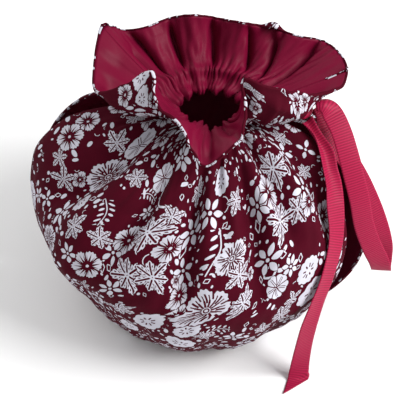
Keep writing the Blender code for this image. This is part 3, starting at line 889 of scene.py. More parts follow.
# Motifs of one repeat, by kind: across, up and radius in mm, turn in degrees, petals.
CHART = (
    # The body
    (
        "blossom",
        (15, 155, 9.1, 163, 6), (9, 167, 7.6, 158, 6), (83, 202, 9.4, 163, 5),
        (44, 147, 6.5, 235, 5), (121, 140, 11.3, 138, 6), (154, 143, 10.0, 102, 5),
        (166, 122, 5.1, 142, 5), (171, 112, 8.8, 20, 6), (181, 101, 7.3, 17, 6),
        (251, 169, 12.0, 293, 6), (283, 149, 8.0, 192, 5), (303, 132, 9.3, 143, 6),
        (102, 114, 10.2, 121, 6), (118, 80, 10.6, 47, 5), (263, 207, 10.3, 4, 5),
    ),
    ("rayed", (56, 163, 15.9, 167, 8), (197, 105, 15.4, 29, 7), (209, 137, 11.1, 102, 7)),
    (
        "rosette",
        (71, 142, 7.4, 23, 8), (192, 185, 9.7, 350, 8), (203, 86, 8.8, 5, 8),
        (175, 88, 11.8, 27, 8), (278, 112, 8.7, 332, 8),
    ),
    ("cut", (113, 183, 9.7, 150, 5), (254, 111, 8.3, 24, 5)),
    (
        "leaf",
        (31, 179, 10.9, 94, 6), (93, 175, 8.8, 297, 6), (36, 138, 11.4, 102, 5),
        (23, 144, 7.9, 245, 5), (103, 134, 9.7, 94, 6), (140, 161, 9.3, 317, 7),
        (135, 149, 15.2, 103, 7), (133, 121, 14.1, 119, 7), (149, 124, 13.4, 128, 7),
        (207, 171, 10.2, 337, 6), (269, 179, 15.6, 82, 7), (273, 150, 12.2, 265, 6),
        (256, 149, 15.9, 82, 7), (216, 126, 11.9, 307, 6), (221, 107, 12.4, 359, 7),
        (306, 188, 9.1, 20, 6), (265, 85, 10.2, 23, 6), (254, 76, 8.5, 8, 6), (268, 96, 8.6, 1, 5),
        (149, 92, 12.5, 98, 6), (216, 80, 7.3, 95, 6), (84, 131, 10.2, 163, 6),
    ),
    (
        "daisy",
        (115, 128, 8.4, 117, 5), (173, 128, 10.3, 74, 5), (186, 165, 10.5, 30, 6),
        (166, 155, 12.3, 350, 6), (293, 181, 9.4, 354, 5), (282, 158, 9.5, 355, 5),
        (238, 164, 10.8, 351, 6), (246, 129, 10.6, 48, 6), (263, 121, 6.4, 346, 7),
        (125, 108, 7.3, 44, 6), (60, 126, 9.2, 58, 6), (235, 74, 7.2, 6, 6),
        (313, 171, 6.7, 155, 4),
    ),
    (
        "sprig",
        (197, 142, 14.6, 272, 1), (93, 148, 9.3, 306, 1), (222, 85, 8.7, 17, 1),
        (109, 170, 7.4, 2, 1),
    ),
    (
        "curl",
        (131, 176, 13.0, 239, 3), (148, 133, 6.2, 216, 3), (270, 105, 5.2, 59, 3),
        (196, 170, 6.1, 22, 3),
    ),
    (
        "outline",
        (234, 152, 4.7, 102, 1), (277, 173, 4.6, 268, 1), (166, 142, 5.6, 89, 1),
        (256, 130, 3.6, 352, 1), (249, 121, 7.1, 36, 1), (228, 147, 3.2, 121, 1),
        (225, 142, 2.4, 358, 1), (112, 117, 3.2, 121, 1), (117, 119, 3.1, 163, 1),
    ),
    # The flaps of the ruffle
    ("blossom", (78, 259, 7.2, 22, 5)),
    ("rosette", (92, 264, 6.8, 328, 8), (95, 252, 7.0, 344, 8)),
    ("leaf", (229, 259, 7.2, 86, 6)),
    ("blossom", (221, 247, 5.6, 97, 5), (269, 259, 6.4, 102, 5), (279, 261, 5.6, 60, 5)),
    ("leaf", (303, 259, 8.5, 61, 6), (266, 247, 8.0, 138, 6)),
    (
        "oval",
        (80, 250, 3.4, 346, 1), (83, 244, 4.0, 338, 1), (97, 240, 3.2, 12, 1),
        (259, 226, 4.6, 160, 1), (290, 257, 3.6, 16, 1),
    ),
    ("curl", (286, 252, 3.6, 325, 3)),
)

# Bare places of the ground: across, up, radius in mm.
BARE_PATCHES = (
    (64.0, 257.0, 8.0), (243.0, 257.0, 9.0), (236.0, 247.0, 7.0), (251.0, 259.0, 7.0),
    (16.0, 139.4, 5.2), (35.3, 160.6, 7.8), (67.7, 188.3, 7.0), (99.8, 155.1, 7.1),
    (98.0, 162.1, 5.9), (104.0, 147.7, 4.8), (106.7, 126.7, 5.5), (155.3, 106.6, 8.2),
    (160.6, 106.3, 6.9), (226.5, 186.2, 6.6), (226.4, 178.6, 4.7), (208.8, 160.0, 5.8),
    (211.6, 151.5, 4.9), (220.0, 157.3, 5.5), (281.7, 130.0, 7.0), (274.1, 131.3, 5.6),
    (204.8, 119.5, 5.4), (209.0, 122.7, 4.9), (236.5, 110.5, 4.8), (231.6, 90.9, 6.3),
    (245.4, 92.2, 4.9), (181.7, 174.3, 3.0),
)


# How much of its circle a charted motif fills: of the named kinds, of the others and of bits.
FILLED_SHARES = {"leaf": 0.84, "daisy": 0.86, "sprig": 0.55}
FILLED_SHARE = 0.97
BIT_SHARE = 0.6

# Motifs strewn between the charted ones: seed, most of them, radii in mm, kinds, petals, and
# the least gap in mm, which may be an overlap.
STREWN = (
    (5, 34, (9.0, 12.5), tuple(KINDS), (6, 7), -1.8),
    (6, 78, (4.8, 7.6), ("blossom", "leaf", "daisy"), (5, 6), -1.5),
    (8, 380, (1.8, 2.9), ("oval", "oval", "outline"), (1,), -0.9),
    (9, 620, (1.0, 1.8), ("oval", "oval", "dot", "curl"), (1,), -0.4),
)
MOST_TRIES = 14000
FAR_AWAY = (-999.0, -999.0, 0.0)  # stands for the circles of an empty layer

FACE_CORNERS = 4
AT_ONCE = 4000  # faces worked out together
PETAL_CODE = 100.0  # a motif's code is its kind, and its petals as parts of this


def clearance(u, v, taken):
    """From a place to each taken circle's edge, round the ends of the repeat."""
    du = np.abs(taken[:, 0] - u)
    dv = np.abs(taken[:, 1] - v)
    du = np.minimum(du, REPEAT[0] - du)
    dv = np.minimum(dv, REPEAT[1] - dv)
    return np.hypot(du, dv) - taken[:, 2]


def scatter(seed, count, sizes, kinds, petals, gap, taken):
    """Motifs strewn over one repeat, clear of each other and of what is taken."""
    chance = np.random.default_rng(seed)
    motifs = []
    names = list(kinds)
    for _ in range(MOST_TRIES):
        if len(motifs) == count:
            break
        size = chance.uniform(*sizes)
        u, v = chance.uniform(0, REPEAT[0]), chance.uniform(0, REPEAT[1])
        if clearance(u, v, taken).min() < size + gap:
            continue
        kind = str(chance.choice(names))
        turn = chance.uniform(0, 360)
        motifs.append((kind, u, v, size, turn, int(chance.choice(petals))))
        taken = np.vstack([taken, (u, v, size)])
    return motifs, taken


def chart():
    """The motifs of one repeat in three layers: two of flowers and leaves, one of bits."""
    rows = [(kind, *row) for kind, *run in CHART for row in run]
    charted = [row for row in rows if row[0] in KINDS]
    bits = [row for row in rows if row[0] in SMALL_KINDS]
    taken = np.array(
        [(row[1], row[2], row[3] * FILLED_SHARES.get(row[0], FILLED_SHARE)) for row in charted]
        + [(row[1], row[2], row[3] * BIT_SHARE) for row in bits]
        + list(BARE_PATCHES)
    )
    strewn = []
    for setting in STREWN:
        motifs, taken = scatter(*setting, taken)
        strewn.append(motifs)
    more, some, few, rest = strewn
    layers = ([], [])
    for motif in sorted(charted + more + some, key=lambda row: -row[3]):
        reach = []
        for layer in layers:
            others = np.array([row[1:4] for row in layer] or [FAR_AWAY])
            reach.append((clearance(motif[1], motif[2], others) - motif[3]).min())
        layers[0 if reach[0] >= min(reach[1], 0.0) else 1].append(motif)
    return layers[0], layers[1], bits + few + rest


def nearest_motif(u, v, table):
    """For each face, its motif in the table and that motif's nearest place."""
    shift_u = np.round((u - table[:, 1]) / REPEAT[0]) * REPEAT[0]
    shift_v = np.round((v - table[:, 2]) / REPEAT[1]) * REPEAT[1]
    away = np.hypot(u - table[:, 1] - shift_u, v - table[:, 2] - shift_v)
    owner = (away / table[:, 3]).argmin(axis=1)
    faces = np.arange(len(owner))
    places = (table[owner, 1] + shift_u[faces, owner], table[owner, 2] + shift_v[faces, owner])
    return np.stack([owner, *places])


def add_motif_map(piece, i, j, u, v, name, motifs):
    """At each corner, the place in the nearest motif's own circle and the motif's kind."""
    mesh = piece.data
    numbers = {**KINDS, **SMALL_KINDS}
    table = np.array([(numbers[row[0]], *row[1:]) for row in motifs])
    corner_u = corner_values(mesh, i, j, u)
    corner_v = corner_values(mesh, i, j, v)
    faces_u = corner_u.reshape(-1, FACE_CORNERS).mean(axis=1)[:, None]
    faces_v = corner_v.reshape(-1, FACE_CORNERS).mean(axis=1)[:, None]
    found = [
        nearest_motif(faces_u[start : start + AT_ONCE], faces_v[start : start + AT_ONCE], table)
        for start in range(0, len(faces_u), AT_ONCE)
    ]
    owner, middle_u, middle_v = np.repeat(np.concatenate(found, axis=1), FACE_CORNERS, axis=1)
    owner = owner.astype(int)
    along_u, along_v = corner_u - middle_u, corner_v - middle_v
    turn, size = np.radians(table[owner, 4]), table[owner, 3]
    x = (along_u * np.cos(turn) + along_v * np.sin(turn)) / size
    y = (along_v * np.cos(turn) - along_u * np.sin(turn)) / size
    code = table[owner, 0] + table[owner, 5] / PETAL_CODE
    values = np.stack([x, y, code], axis=1).astype(np.float32)
    layer = mesh.attributes.new(name, "FLOAT_VECTOR", "CORNER")
    layer.data.foreach_set("vector", values.ravel())


def shader_sum(operation):
    """A method that puts a value, and any others it is given, through one Math node."""

    def method(value, *others):
        return value.math(operation, *others)

    return method


class Wire:
    """A shader value that sums and comparisons can be written on."""

    def __init__(self, tree, socket):
        self.tree = tree
        self.socket = socket

    def math(self, operation, *others):
        """A Math node on this value and others."""
        node = self.tree.nodes.new("ShaderNodeMath")
        node.operation = operation
        for place, item in enumerate((self, *others)):
            if isinstance(item, Wire):
                self.tree.links.new(item.socket, node.inputs[place])
            else:
                node.inputs[place].default_value = item
        return Wire(self.tree, node.outputs[0])

    __add__ = shader_sum("ADD")
    __sub__ = shader_sum("SUBTRACT")
    __mul__ = shader_sum("MULTIPLY")
    __truediv__ = shader_sum("DIVIDE")
    __gt__ = shader_sum("GREATER_THAN")
    __lt__ = shader_sum("LESS_THAN")
    power = shader_sum("POWER")
    most = shader_sum("MAXIMUM")
    least = shader_sum("MINIMUM")
    sin = shader_sum("SINE")
    cos = shader_sum("COSINE")
    size = shader_sum("ABSOLUTE")
    part = shader_sum("FRACT")

    def flip(self):
        """One minus this value."""
        return (self * -1.0) + 1.0


def motif_inputs(tree, name):
    """A layer's place in its motif, kind and number of petals."""
    source = tree.nodes.new("ShaderNodeAttribute")
    source.attribute_name = name
    split = tree.nodes.new("ShaderNodeSeparateXYZ")
    tree.links.new(source.outputs["Vector"], split.inputs[0])
    x, y, code = (Wire(tree, split.outputs[axis]) for axis in range(3))
    kind = code.math("FLOOR")
    petals = ((code - kind) * PETAL_CODE).math("ROUND")
    return x, y, kind, petals


def is_kind(kind, number):
    """1 where the motif is of this kind."""
    return kind.math("COMPARE", float(number), 0.3)


def petal_place(x, y, petals):
    """Distance from the middle, place along and beside the nearest petal, and its turn."""
    reach = (x * x + y * y).math("SQRT")
    turn = y.math("ARCTAN2", x)
    sector = turn * petals / (2.0 * math.pi)
    off = (sector.part() - 0.5) * (2.0 * math.pi) / petals
    return reach, reach * off.cos(), (reach * off.sin()).size(), turn


def round_petal(along, beside, middle, radius):
    """1 in a round petal whose own middle lies on the petal's line."""
    off = along - middle
    return (off * off + beside * beside).math("SQRT") < radius


# Each drawing takes a place in its motif's circle and the number of petals, and gives what
# is drawn there and what the motif covers.


def blossom(x, y, petals):
    """Five or six broad round petals with dark rays and a light eye."""
    reach, along, beside, turn = petal_place(x, y, petals)
    ripple = (turn * petals * 5.0).sin() * 0.032
    body = round_petal(along, beside, 0.57, ripple + 0.40).most(reach < 0.45)
    spike = beside < (along * -0.13 + 0.112)
    side_spike = (beside - along * 0.36).size() < (along * -0.11 + 0.080)
    dark = spike.most(side_spike).most(reach < 0.17) * (reach > 0.10)
    seam = ((along * math.pi / petals - beside * 0.93) < 0.042) * (reach > 0.25)
    cover = round_petal(along, beside, 0.57, 0.48).most(reach < 0.5)
    return body * dark.most(seam).flip() * 0.92, cover


def rayed(x, y, petals):
    """A large open flower with many fine dark rays round its middle."""
    reach, along, beside, turn = petal_place(x, y, petals)
    _, fine_along, fine_beside, _ = petal_place(x, y, petals * 2.0)
    ripple = (turn * petals * 4.0).sin() * 0.03
    body = round_petal(along, beside, 0.62, ripple + 0.35).most(reach < 0.6)
    inner = (fine_beside < 0.040) * (fine_along > 0.17) * (fine_along < 0.52)
    outer = (beside < 0.042) * (along > 0.38) * (along < 0.78)
    side = ((beside - along * 0.22).size() < 0.026) * (along > 0.42) * (along < 0.72)
    seam = ((along * math.pi / petals - beside * 0.93) < 0.040) * (reach > 0.55)
    eye = (reach < 0.13) * (reach > 0.07)
    cover = round_petal(along, beside, 0.62, 0.42).most(reach < 0.7)
    return body * inner.most(outer).most(side).most(seam).most(eye).flip() * 0.92, cover


def rosette(x, y, petals):
    """A round flower with a small scalloped edge and a ring of dark dashes."""
    reach, along, beside, turn = petal_place(x, y, petals)
    edge = (turn * petals * 0.75).sin().size() * 0.10 + 0.86
    dashes = (beside < 0.055) * (along > 0.24) * (along < 0.50)
    return (reach < edge) * dashes.flip() * 0.95, reach < 1.03


def cut_flower(x, y, petals):
    """Five heart-shaped petals, each with two dark cuts."""
    reach, along, beside, _ = petal_place(x, y, petals)
    lobe = round_petal(along, beside - 0.17, 0.66, 0.29)
    trunk = (beside < along * 0.60) * (along < 0.70)
    gap = (along * math.tan(math.pi / 5.0) - beside) < 0.045
    cuts = ((beside - 0.065).size() < 0.026) * (along > 0.10) * (along < 0.80)
    return lobe.most(trunk) * gap.most(cuts).flip(), reach < 1.0


def veined_leaf(x, y, petals):
    """Toothed leaflets of uneven length from one stem, white edged with dark veins."""
    _, along, beside, turn = petal_place(x, y, petals)
    number = (turn * petals / (2.0 * math.pi)).math("FLOOR")
    run = along / ((number * 2.4).sin() * 0.15 + 0.84)
    teeth = (run * 3.6).part() * 0.42 + 0.76
    width = (run.most(0.0).power(1.3) * math.pi).sin().most(0.0).power(0.8) * 0.205 * teeth
    inside_run = (run < 1.0) * (run > 0.03)
    body = (beside < width) * inside_run
    inside = beside < (width - 0.050)
    veins = ((run - beside * 0.9) * 4.0).part() < 0.46
    dark = inside * (veins * (beside > 0.080)).most(beside < 0.042) * (run > 0.12)
    return body * dark.flip(), (beside < (width + 0.07)) * inside_run


def daisy(x, y, petals):
    """Separate almond petals round a dot."""
    reach, along, beside, _ = petal_place(x, y, petals)
    run = ((along - 0.24) / 0.76).most(0.0).least(1.0)
    width = (run * math.pi).sin().power(0.75) * 0.205
    petal = (beside < width) * (along > 0.25)
    cover = (beside < (width + 0.07)) * (along > 0.18) * (along < 1.0)
    return petal.most(reach < 0.13), cover.most(reach < 0.22)


def sprig(x, y, petals):
    """A bent stem with small separate leaves on both sides."""
    bend = y - (x * 1.7).cos() * 0.30 + 0.14
    stem = (bend.size() < 0.032) * (x.size() < 0.97)
    slot = (x * 2.6).part() - 0.5
    rise = bend.size() - 0.30
    slanted = (slot * 0.385 - rise * 0.45) / 0.085
    height = rise / 0.17
    leaf = ((slanted * slanted + height * height) < 1.0) * (x.size() < 0.92)
    shape = stem.most(leaf)
    return shape, shape


def oval(x, y, petals):
    """One small filled leaf."""
    height = y / 0.55
    shape = (x * x + height * height) < 1.0
    return shape, shape


def outline_leaf(x, y, petals):
    """A pointed leaf drawn as an outline."""
    width = (x.size().flip()).most(0.0).power(0.75) * 0.62
    shape = (y.size() < width) * (y.size() > (width - 0.22)) * (x.size() < 0.97)
    return shape, shape


def dot(x, y, petals):
    """A small round dot."""
    shape = (x * x + y * y) < 0.45
    return shape, shape


def curl(x, y, petals):
    """A curved line, thinner where its number is higher."""
    reach, _, _, turn = petal_place(x, y, petals)
    shape = ((reach - 0.82).size() < (petals * -0.03 + 0.14)) * (turn < 1.2) * (turn > -1.6)
    return shape, shape


DRAWINGS = {
    "blossom": blossom,
    "rayed": rayed,
    "rosette": rosette,
    "cut": cut_flower,
    "leaf": veined_leaf,
    "daisy": daisy,
    "sprig": sprig,
    "oval": oval,
    "outline": outline_leaf,
    "dot": dot,
    "curl": curl,
}
LAYERS = (("upper_motif", KINDS), ("lower_motif", KINDS), ("small_motif", SMALL_KINDS))


def print_mask(tree):
    """1 on the printed flowers and leaves, 0 on the ground and round each motif."""
    shown = covered = None
    for name, kinds in LAYERS:
        x, y, kind, petals = motif_inputs(tree, name)
        layer = cover = None
        for label, number in kinds.items():
            chosen = is_kind(kind, number)
            drawn, reach = DRAWINGS[label](x, y, petals)
            drawn, reach = drawn * chosen, reach * chosen
            layer = drawn if layer is None else layer.most(drawn)
            cover = reach if cover is None else cover.most(reach)
        if shown is None:
            shown, covered = layer, cover
        else:
            shown = shown.most(layer * covered.flip())
            covered = covered.most(cover)
    return shown


# ---- Materials ----

PRINTED_PITCH = 0.00042  # m, from thread to thread
LINING_PITCH = 0.00036
INK_HEIGHT = 0.15  # of the print over its cloth, against the bump's distance


def new_material(name):
    """An empty material with its shader."""
    material = bpy.data.materials.new(name)
    material.use_nodes = True
    return material, material.node_tree, material.node_tree.nodes["Principled BSDF"]


def add_node(tree, kind, **settings):
    """A node with its settings."""
    node = tree.nodes.new(kind)
    for name, value in settings.items():
        setattr(node, name, value)
    return node


def set_inputs(node, settings):
    """Give a node's inputs their values."""
    for name, value in settings.items():
        node.inputs[name].default_value = value


def cut_place(tree):
    """The cloth's own map: metres across and up the cut."""
    return add_node(tree, "ShaderNodeUVMap", uv_map="cut").outputs["UV"]


def noise(tree, place, scale, detail=2.0):
    """Soft noise over the cloth, from 0 to 1."""
    node = add_node(tree, "ShaderNodeTexNoise", noise_dimensions="2D")
    set_inputs(node, {"Scale": scale, "Detail": detail})
    tree.links.new(place, node.inputs["Vector"])
    return Wire(tree, node.outputs["Fac"])


def weave_height(tree, place, pitch):
    """Raised threads of a plain weave with uneven yarns."""
    split = add_node(tree, "ShaderNodeSeparateXYZ")
    tree.links.new(place, split.inputs[0])
    across, up = Wire(tree, split.outputs[0]), Wire(tree, split.outputs[1])
    turns = math.pi / pitch
    weave = (across * turns).sin() * (up * turns).sin()
    slub = noise(tree, place, scale=900.0, detail=3.0)
    return weave * 0.35 + slub


def mixed_colour(tree, share, first, second):
    """Two colours mixed by a value."""
    mix = add_node(tree, "ShaderNodeMix", data_type="RGBA")
    for socket, item in ((mix.inputs[6], first), (mix.inputs[7], second)):
        if hasattr(item, "is_output"):
            tree.links.new(item, socket)
        else:
            socket.default_value = (*item, 1.0)
    tree.links.new(share.socket, mix.inputs[0])
    return mix.outputs[2]


def uneven(tree, place, scale, low=0.0, high=1.0):
    """A soft uneven value between low and high."""
    return noise(tree, place, scale) * (high - low) + low


def bump(tree, shader, height, distance):
    """Raise the surface by a height value."""
    node = add_node(tree, "ShaderNodeBump")
    set_inputs(node, {"Strength": 0.5, "Distance": distance})
    tree.links.new(height.socket, node.inputs["Height"])
    tree.links.new(node.outputs["Normal"], shader.inputs["Normal"])


def darker(colour, share):
    """A share of a colour."""
    return tuple(channel * share for channel in colour)


def printed_cotton(look):
    """Burgundy cotton printed with white flowers and leaves."""
    material, tree, shader = new_material("printed cotton")
    place = cut_place(tree)
    mask = print_mask(tree)
    patches = uneven(tree, place, scale=60.0)
    ground = mixed_colour(tree, patches, look.ground, darker(look.ground, share=0.62))
    wear = uneven(tree, place, scale=75.0, low=-0.5, high=1.5).least(1.0).most(0.0)
    white = mixed_colour(tree, wear, look.motif, darker(look.motif, share=0.84))
    tree.links.new(mixed_colour(tree, mask, ground, white), shader.inputs["Base Color"])
    set_inputs(shader, {"Roughness": 0.75, "Specular IOR Level": 0.04})
    height = weave_height(tree, place, PRINTED_PITCH) + mask * INK_HEIGHT
    bump(tree, shader, height, distance=0.00010)
    return material


def plain_cotton(look):
    """Plain crimson lining."""
    material, tree, shader = new_material("plain cotton")
    place = cut_place(tree)
    patches = uneven(tree, place, scale=45.0)
    colour = mixed_colour(tree, patches, look.lining, darker(look.lining, share=0.74))
    tree.links.new(colour, shader.inputs["Base Color"])
    set_inputs(shader, {"Roughness": 0.45, "Specular IOR Level": 0.09})
    bump(tree, shader, weave_height(tree, place, LINING_PITCH), distance=0.00008)
    return material


def grosgrain(look):
    """Ribbed ribbon with a soft shine and painted shade in the grooves between its ribs."""
    material, tree, shader = new_material("grosgrain ribbon")
    place = cut_place(tree)
    split = add_node(tree, "ShaderNodeSeparateXYZ")
    tree.links.new(place, split.inputs[0])
    rib = (Wire(tree, split.outputs[1]) * (2.0 * math.pi / look.rib_pitch)).sin()
    # Painted shade: the colour is darkened in the grooves between the ribs and kept full on their
    # tops.
    lit = rib * 0.42 + 0.52
    colour = mixed_colour(tree, lit, darker(look.colour, share=0.55), look.colour)
    tree.links.new(colour, shader.inputs["Base Color"])
    set_inputs(shader, {"Roughness": 0.45, "Specular IOR Level": 0.12})
    thread = uneven(tree, place, scale=1400.0, high=0.5)
    bump(tree, shader, rib * 0.8 + thread, distance=0.00016)
    return material


# ---- Operators ----


def to_frame(points):
    """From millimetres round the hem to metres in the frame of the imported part."""
    return (points + HEM_MIDDLE) * MM


def sheet_piece(name, points, u, v):
    """A sheet in its shape with its own map, and the row and column of each vertex."""
    rows, columns = u.shape
    piece, i, j = grid_piece(name, columns, rows)
    shape_grid(piece, i, j, to_frame(points))
    add_cut_map(piece, i, j, u, v)
    return piece, i, j


def rim_radii(first, columns, radius):
    """The roll's radius in mm at each place along one half's rim."""
    along_rim = first + np.linspace(0.0, 1.0, columns)
    radii = np.full(along_rim.shape, radius)
    for place, wide, added in RIM_TURNS:
        radii += added * np.exp(-((offset_round(along_rim, place, 2.0) / wide) ** 4))
    return radii


def lining_depth(look, u, v):
    """From the printed cloth's face to the lining in mm, less at the edges."""
    edge = np.minimum(u - u.min(axis=1, keepdims=True), u.max(axis=1, keepdims=True) - u)
    from_edge, from_top = edge - WADDING_EDGE[0], WADDING_TOP[0] - v
    deep = smooth_step(from_edge / WADDING_EDGE[1]) * smooth_step(from_top / WADDING_TOP[1])
    casing = CASING_ROOM * bell((v - neck_length() - CASING_PLACE[0]) / CASING_PLACE[1])
    return (look.lining_depth + look.wadding * deep) / MM + casing


class COSY_OT_printed_cloth(bpy.types.Operator):
    """Make the front and back halves of the printed cloth"""

    bl_idname = "cosy.printed_cloth"
    bl_label = "Printed cloth"

    def execute(self, context):
        look = context.scene.cosy_cloth
        material = printed_cotton(look)
        layers = chart()
        for first, side in enumerate(("front", "back")):
            *shape, turned = cloth_shape(first, *PRINTED_GRID, look.gather_depth)
            shape[0][..., 2] = np.maximum(shape[0][..., 2], 0.0)
            roll = look.edge_roll / MM
            radii = roll * (SHUT_ROLL + (1.0 - SHUT_ROLL) * turned)
            rim = rim_radii(first, PRINTED_GRID[0], roll)
            points, _, u, v = rolled(*shape, radii, rim, ROLL_STEPS)
            for turned_in in (points[:, :ROLL_STEPS], points[:, -ROLL_STEPS:]):
                turned_in[..., 2] = np.maximum(turned_in[..., 2], look.thickness / MM)
            piece, i, j = sheet_piece(f"printed_cloth_{side}", points, u, v)
            for (name, _), motifs in zip(LAYERS, layers):
                add_motif_map(piece, i, j, u, v, name, motifs)
            finish_piece(piece, material, look.thickness, -1.0)
            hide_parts(f"outer_{side}")
        return {"FINISHED"}


class COSY_OT_lining(bpy.types.Operator):
    """Make the front and back halves of the plain lining"""

    bl_idname = "cosy.lining"
    bl_label = "Lining"

    def execute(self, context):
        look = context.scene.cosy_cloth
        material = plain_cotton(look)
        for first, side in enumerate(("front", "back")):
            points, outward, u, v, _ = cloth_shape(first, *LINING_GRID, look.gather_depth)
            points = points - outward * lining_depth(look, u, v)[:, :, None]
            points[..., 2] = np.maximum(points[..., 2], LINING_FLOOR)
            piece, _, _ = sheet_piece(f"lining_cloth_{side}", points, u, v)
            finish_piece(piece, material, look.thickness, -1.0)
            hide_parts(f"lining_{side}")
        return {"FINISHED"}


def ribbon_shape(table, width, slant):
    """Points of a ribbon's middle sheet in mm and its own map; slant is the cut end's."""
    rows = np.array(table)
    knots = np.arange(len(rows), dtype=float)
    where = np.linspace(0.0, len(rows) - 1.0, (len(rows) - 1) * RIBBON_STEPS + 1)
    path = curve_through(knots, rows, where)
    centre = path[:, :3]
    centre[:, 2] = np.maximum(centre[:, 2], RIBBON_FLOOR)
    along = unit(np.gradient(centre, axis=0))
    across = unit(path[:, 3:6] - along * (path[:, 3:6] * along).sum(axis=1, keepdims=True))
    face = np.cross(along, across)
    span = np.linspace(-1.0, 1.0, RIBBON_COLUMNS)
    pinch = np.sqrt(np.clip(1.0 - path[:, 6] ** 2, 0.0, 1.0))
    bow = (1.0 - span**2)[None, :] * (BOW[0] + pinch * width * BOW[1])[:, None]
    half = path[:, 6:7] * width / 2
    flat = centre[:, None] + across[:, None] * (half * span)[:, :, None]
    points = flat + face[:, None] * bow[:, :, None]
    steps = np.linalg.norm(np.diff(centre, axis=0), axis=1)
    length = np.concatenate([[0.0], np.cumsum(steps)])
    near_end = smooth_step((length - length[-1] + TAIL_CUT[1]) / TAIL_CUT[1])[:, None]
    cut = near_end * ((span - CUT_MIDDLE) * slant)
    points = points + along[:, None] * cut[:, :, None]
    points[..., 2] = np.maximum(points[..., 2], RIBBON_SHEET_FLOOR)
    u = np.broadcast_to(span * width / 2, points.shape[:2])
    return points, u, length[:, None] + cut


class COSY_OT_ribbon_tie(bpy.types.Operator):
    """Make the ribbon's lead, knot, loop and tail"""

    bl_idname = "cosy.ribbon_tie"
    bl_label = "Ribbon tie"

    def execute(self, context):
        look = context.scene.cosy_ribbon
        material = grosgrain(look)
        ribbons = (
            ("ribbon_lead", RIBBON_LEAD, 0.0, "stretched"),
            ("ribbon_front_tail", FRONT_TAIL, TAIL_CUT[0], "hung"),
            ("ribbon_loop", BIG_LOOP, 0.0, "hung"),
        )
        for node, table, slant, held in ribbons:
            points, u, v = ribbon_shape(table, look.width / MM, slant)
            piece, _, _ = sheet_piece(f"{node}_cloth", points, u, v)
            finish_piece(piece, material, look.thickness, 0.0)
            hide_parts(node)
        make_knot(material)
        return {"FINISHED"}


def make_knot(material):
    """The tied knot: two rounded wraps of ribbon pulled tight."""
    ball = bmesh.new()
    ball.loops.layers.uv.new("cut")
    bmesh.ops.create_uvsphere(ball, **KNOT_GRID, radius=1.0, calc_uvs=True)
    for vertex in ball.verts:
        x, y, z = vertex.co
        turn = math.atan2(z, y)
        wraps = WRAP_DEPTH * math.cos(WRAPS * turn + WRAP_SLANT * x)
        waist = WAIST[0] * math.exp(-((x / WAIST[1]) ** 2))
        swell = 1.0 + wraps - waist
        vertex.co = Vector((x, y * swell, z * swell))
    mesh = bpy.data.meshes.new("ribbon_knot_tied")
    ball.to_mesh(mesh)
    ball.free()
    places = np.empty(len(mesh.vertices) * 3)
    mesh.vertices.foreach_get("co", places)
    points = places.reshape(-1, 3) * KNOT_HALF_SIZE + KNOT_CENTRE
    mesh.vertices.foreach_set("co", to_frame(points).astype(np.float32).ravel())
    layer = mesh.uv_layers["cut"]
    pairs = np.empty(len(mesh.loops) * 2)
    layer.data.foreach_get("uv", pairs)
    pairs = pairs.reshape(-1, 2) * KNOT_CLOTH
    layer.data.foreach_set("uv", pairs[:, ::-1].astype(np.float32).ravel())
    for face in mesh.polygons:
        face.use_smooth = True
    piece = bpy.data.objects.new("ribbon_knot_tied", mesh)
    bpy.context.scene.collection.objects.link(piece)
    mesh.materials.append(material)
    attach(piece, BODY)
    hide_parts("ribbon_knot")


def add_floor(colour):
    """A wide pale floor."""
    slab = bmesh.new()
    bmesh.ops.create_grid(slab, x_segments=1, y_segments=1, size=FLOOR_HALF_SIZE)
    mesh = bpy.data.meshes.new("floor")
    slab.to_mesh(mesh)
    slab.free()
    floor = bpy.data.objects.new("floor", mesh)
    bpy.context.scene.collection.objects.link(floor)
    material, _, shader = new_material("pale floor")
    paint = {"Base Color": (*colour, 1.0), "Roughness": 0.9, "Specular IOR Level": 0.1}
    set_inputs(shader, paint)
    mesh.materials.append(material)


def add_world(strength):
    """Even white light from all round."""
    world = bpy.data.worlds.new("soft room")
    world.use_nodes = True
    sky = world.node_tree.nodes["Background"]
    set_inputs(sky, {"Color": (1.0, 1.0, 1.0, 1.0), "Strength": strength})
    bpy.context.scene.world = world
    bpy.context.scene.view_settings.view_transform = "Standard"


def look_at(thing, place, target):
    """Put a lamp or camera at a place, facing a target."""
    thing.location = place
    thing.rotation_euler = (Vector(target) - Vector(place)).to_track_quat("-Z", "Y").to_euler()


def add_softbox(name, place, target, size, power):
    """A square soft light."""
    lamp = bpy.data.lights.new(name, "AREA")
    lamp.shape = "SQUARE"
    lamp.size = size
    lamp.energy = power
    box = bpy.data.objects.new(name, lamp)
    bpy.context.scene.collection.objects.link(box)
    look_at(box, place, target)


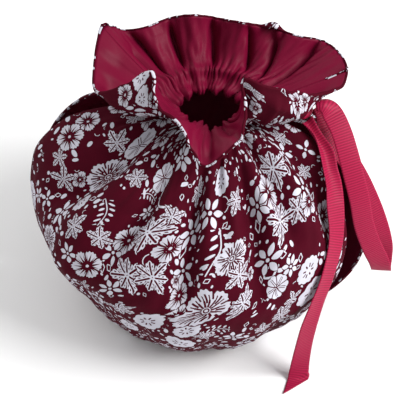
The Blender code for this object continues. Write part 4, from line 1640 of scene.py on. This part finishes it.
def add_camera():
    """The camera in front of the cosy, looking down at it."""
    lens = bpy.data.cameras.new("camera")
    lens.sensor_width = SENSOR
    lens.lens = LENS
    lens.shift_x, lens.shift_y = LENS_SHIFT
    camera = bpy.data.objects.new("camera", lens)
    bpy.context.scene.collection.objects.link(camera)
    target = Vector((HEM_MIDDLE[0] * MM, 0.0, CAMERA_AIM))
    away = Vector((0.0, -math.cos(CAMERA_SLOPE), math.sin(CAMERA_SLOPE)))
    look_at(camera, target + away * CAMERA_DISTANCE, target)
    bpy.context.scene.camera = camera


class COSY_OT_stage(bpy.types.Operator):
    """Make the floor, the soft light and the camera"""

    bl_idname = "cosy.stage"
    bl_label = "Stage"

    def execute(self, context):
        look = context.scene.cosy_stage
        add_floor(look.floor)
        add_world(WORLD_LIGHT)
        add_softbox("key light", *KEY_BOX, look.key_power)
        add_softbox("fill light", *FILL_BOX, look.fill_power)
        add_camera()
        return {"FINISHED"}


class COSY_PT_panel(bpy.types.Panel):
    """The tea cosy's pieces and settings"""

    bl_idname = "COSY_PT_panel"
    bl_label = "Tea cosy"
    bl_space_type = "VIEW_3D"
    bl_region_type = "UI"
    bl_category = "Tea cosy"

    def draw(self, context):
        layout = self.layout
        scene = context.scene
        for settings in (scene.cosy_cloth, scene.cosy_ribbon, scene.cosy_stage):
            box = layout.box()
            for name in settings.__annotations__:
                box.prop(settings, name)
        for operator in OPERATORS:
            layout.operator(operator.bl_idname)


OPERATORS = (COSY_OT_printed_cloth, COSY_OT_lining, COSY_OT_ribbon_tie, COSY_OT_stage)
CLASSES = (ClothSettings, RibbonSettings, StageSettings, *OPERATORS, COSY_PT_panel)


def register():
    """Add the settings, operators and panel."""
    for cls in CLASSES:
        bpy.utils.register_class(cls)
    bpy.types.Scene.cosy_cloth = PointerProperty(type=ClothSettings)
    bpy.types.Scene.cosy_ribbon = PointerProperty(type=RibbonSettings)
    bpy.types.Scene.cosy_stage = PointerProperty(type=StageSettings)


def unregister():
    """Take them away again."""
    del bpy.types.Scene.cosy_stage
    del bpy.types.Scene.cosy_ribbon
    del bpy.types.Scene.cosy_cloth
    for cls in reversed(CLASSES):
        bpy.utils.unregister_class(cls)


def main():
    """Make the whole cosy on its stage."""
    register()
    bpy.ops.cosy.stage()
    bpy.ops.cosy.printed_cloth()
    bpy.ops.cosy.lining()
    bpy.ops.cosy.ribbon_tie()


if __name__ == "__main__":
    main()
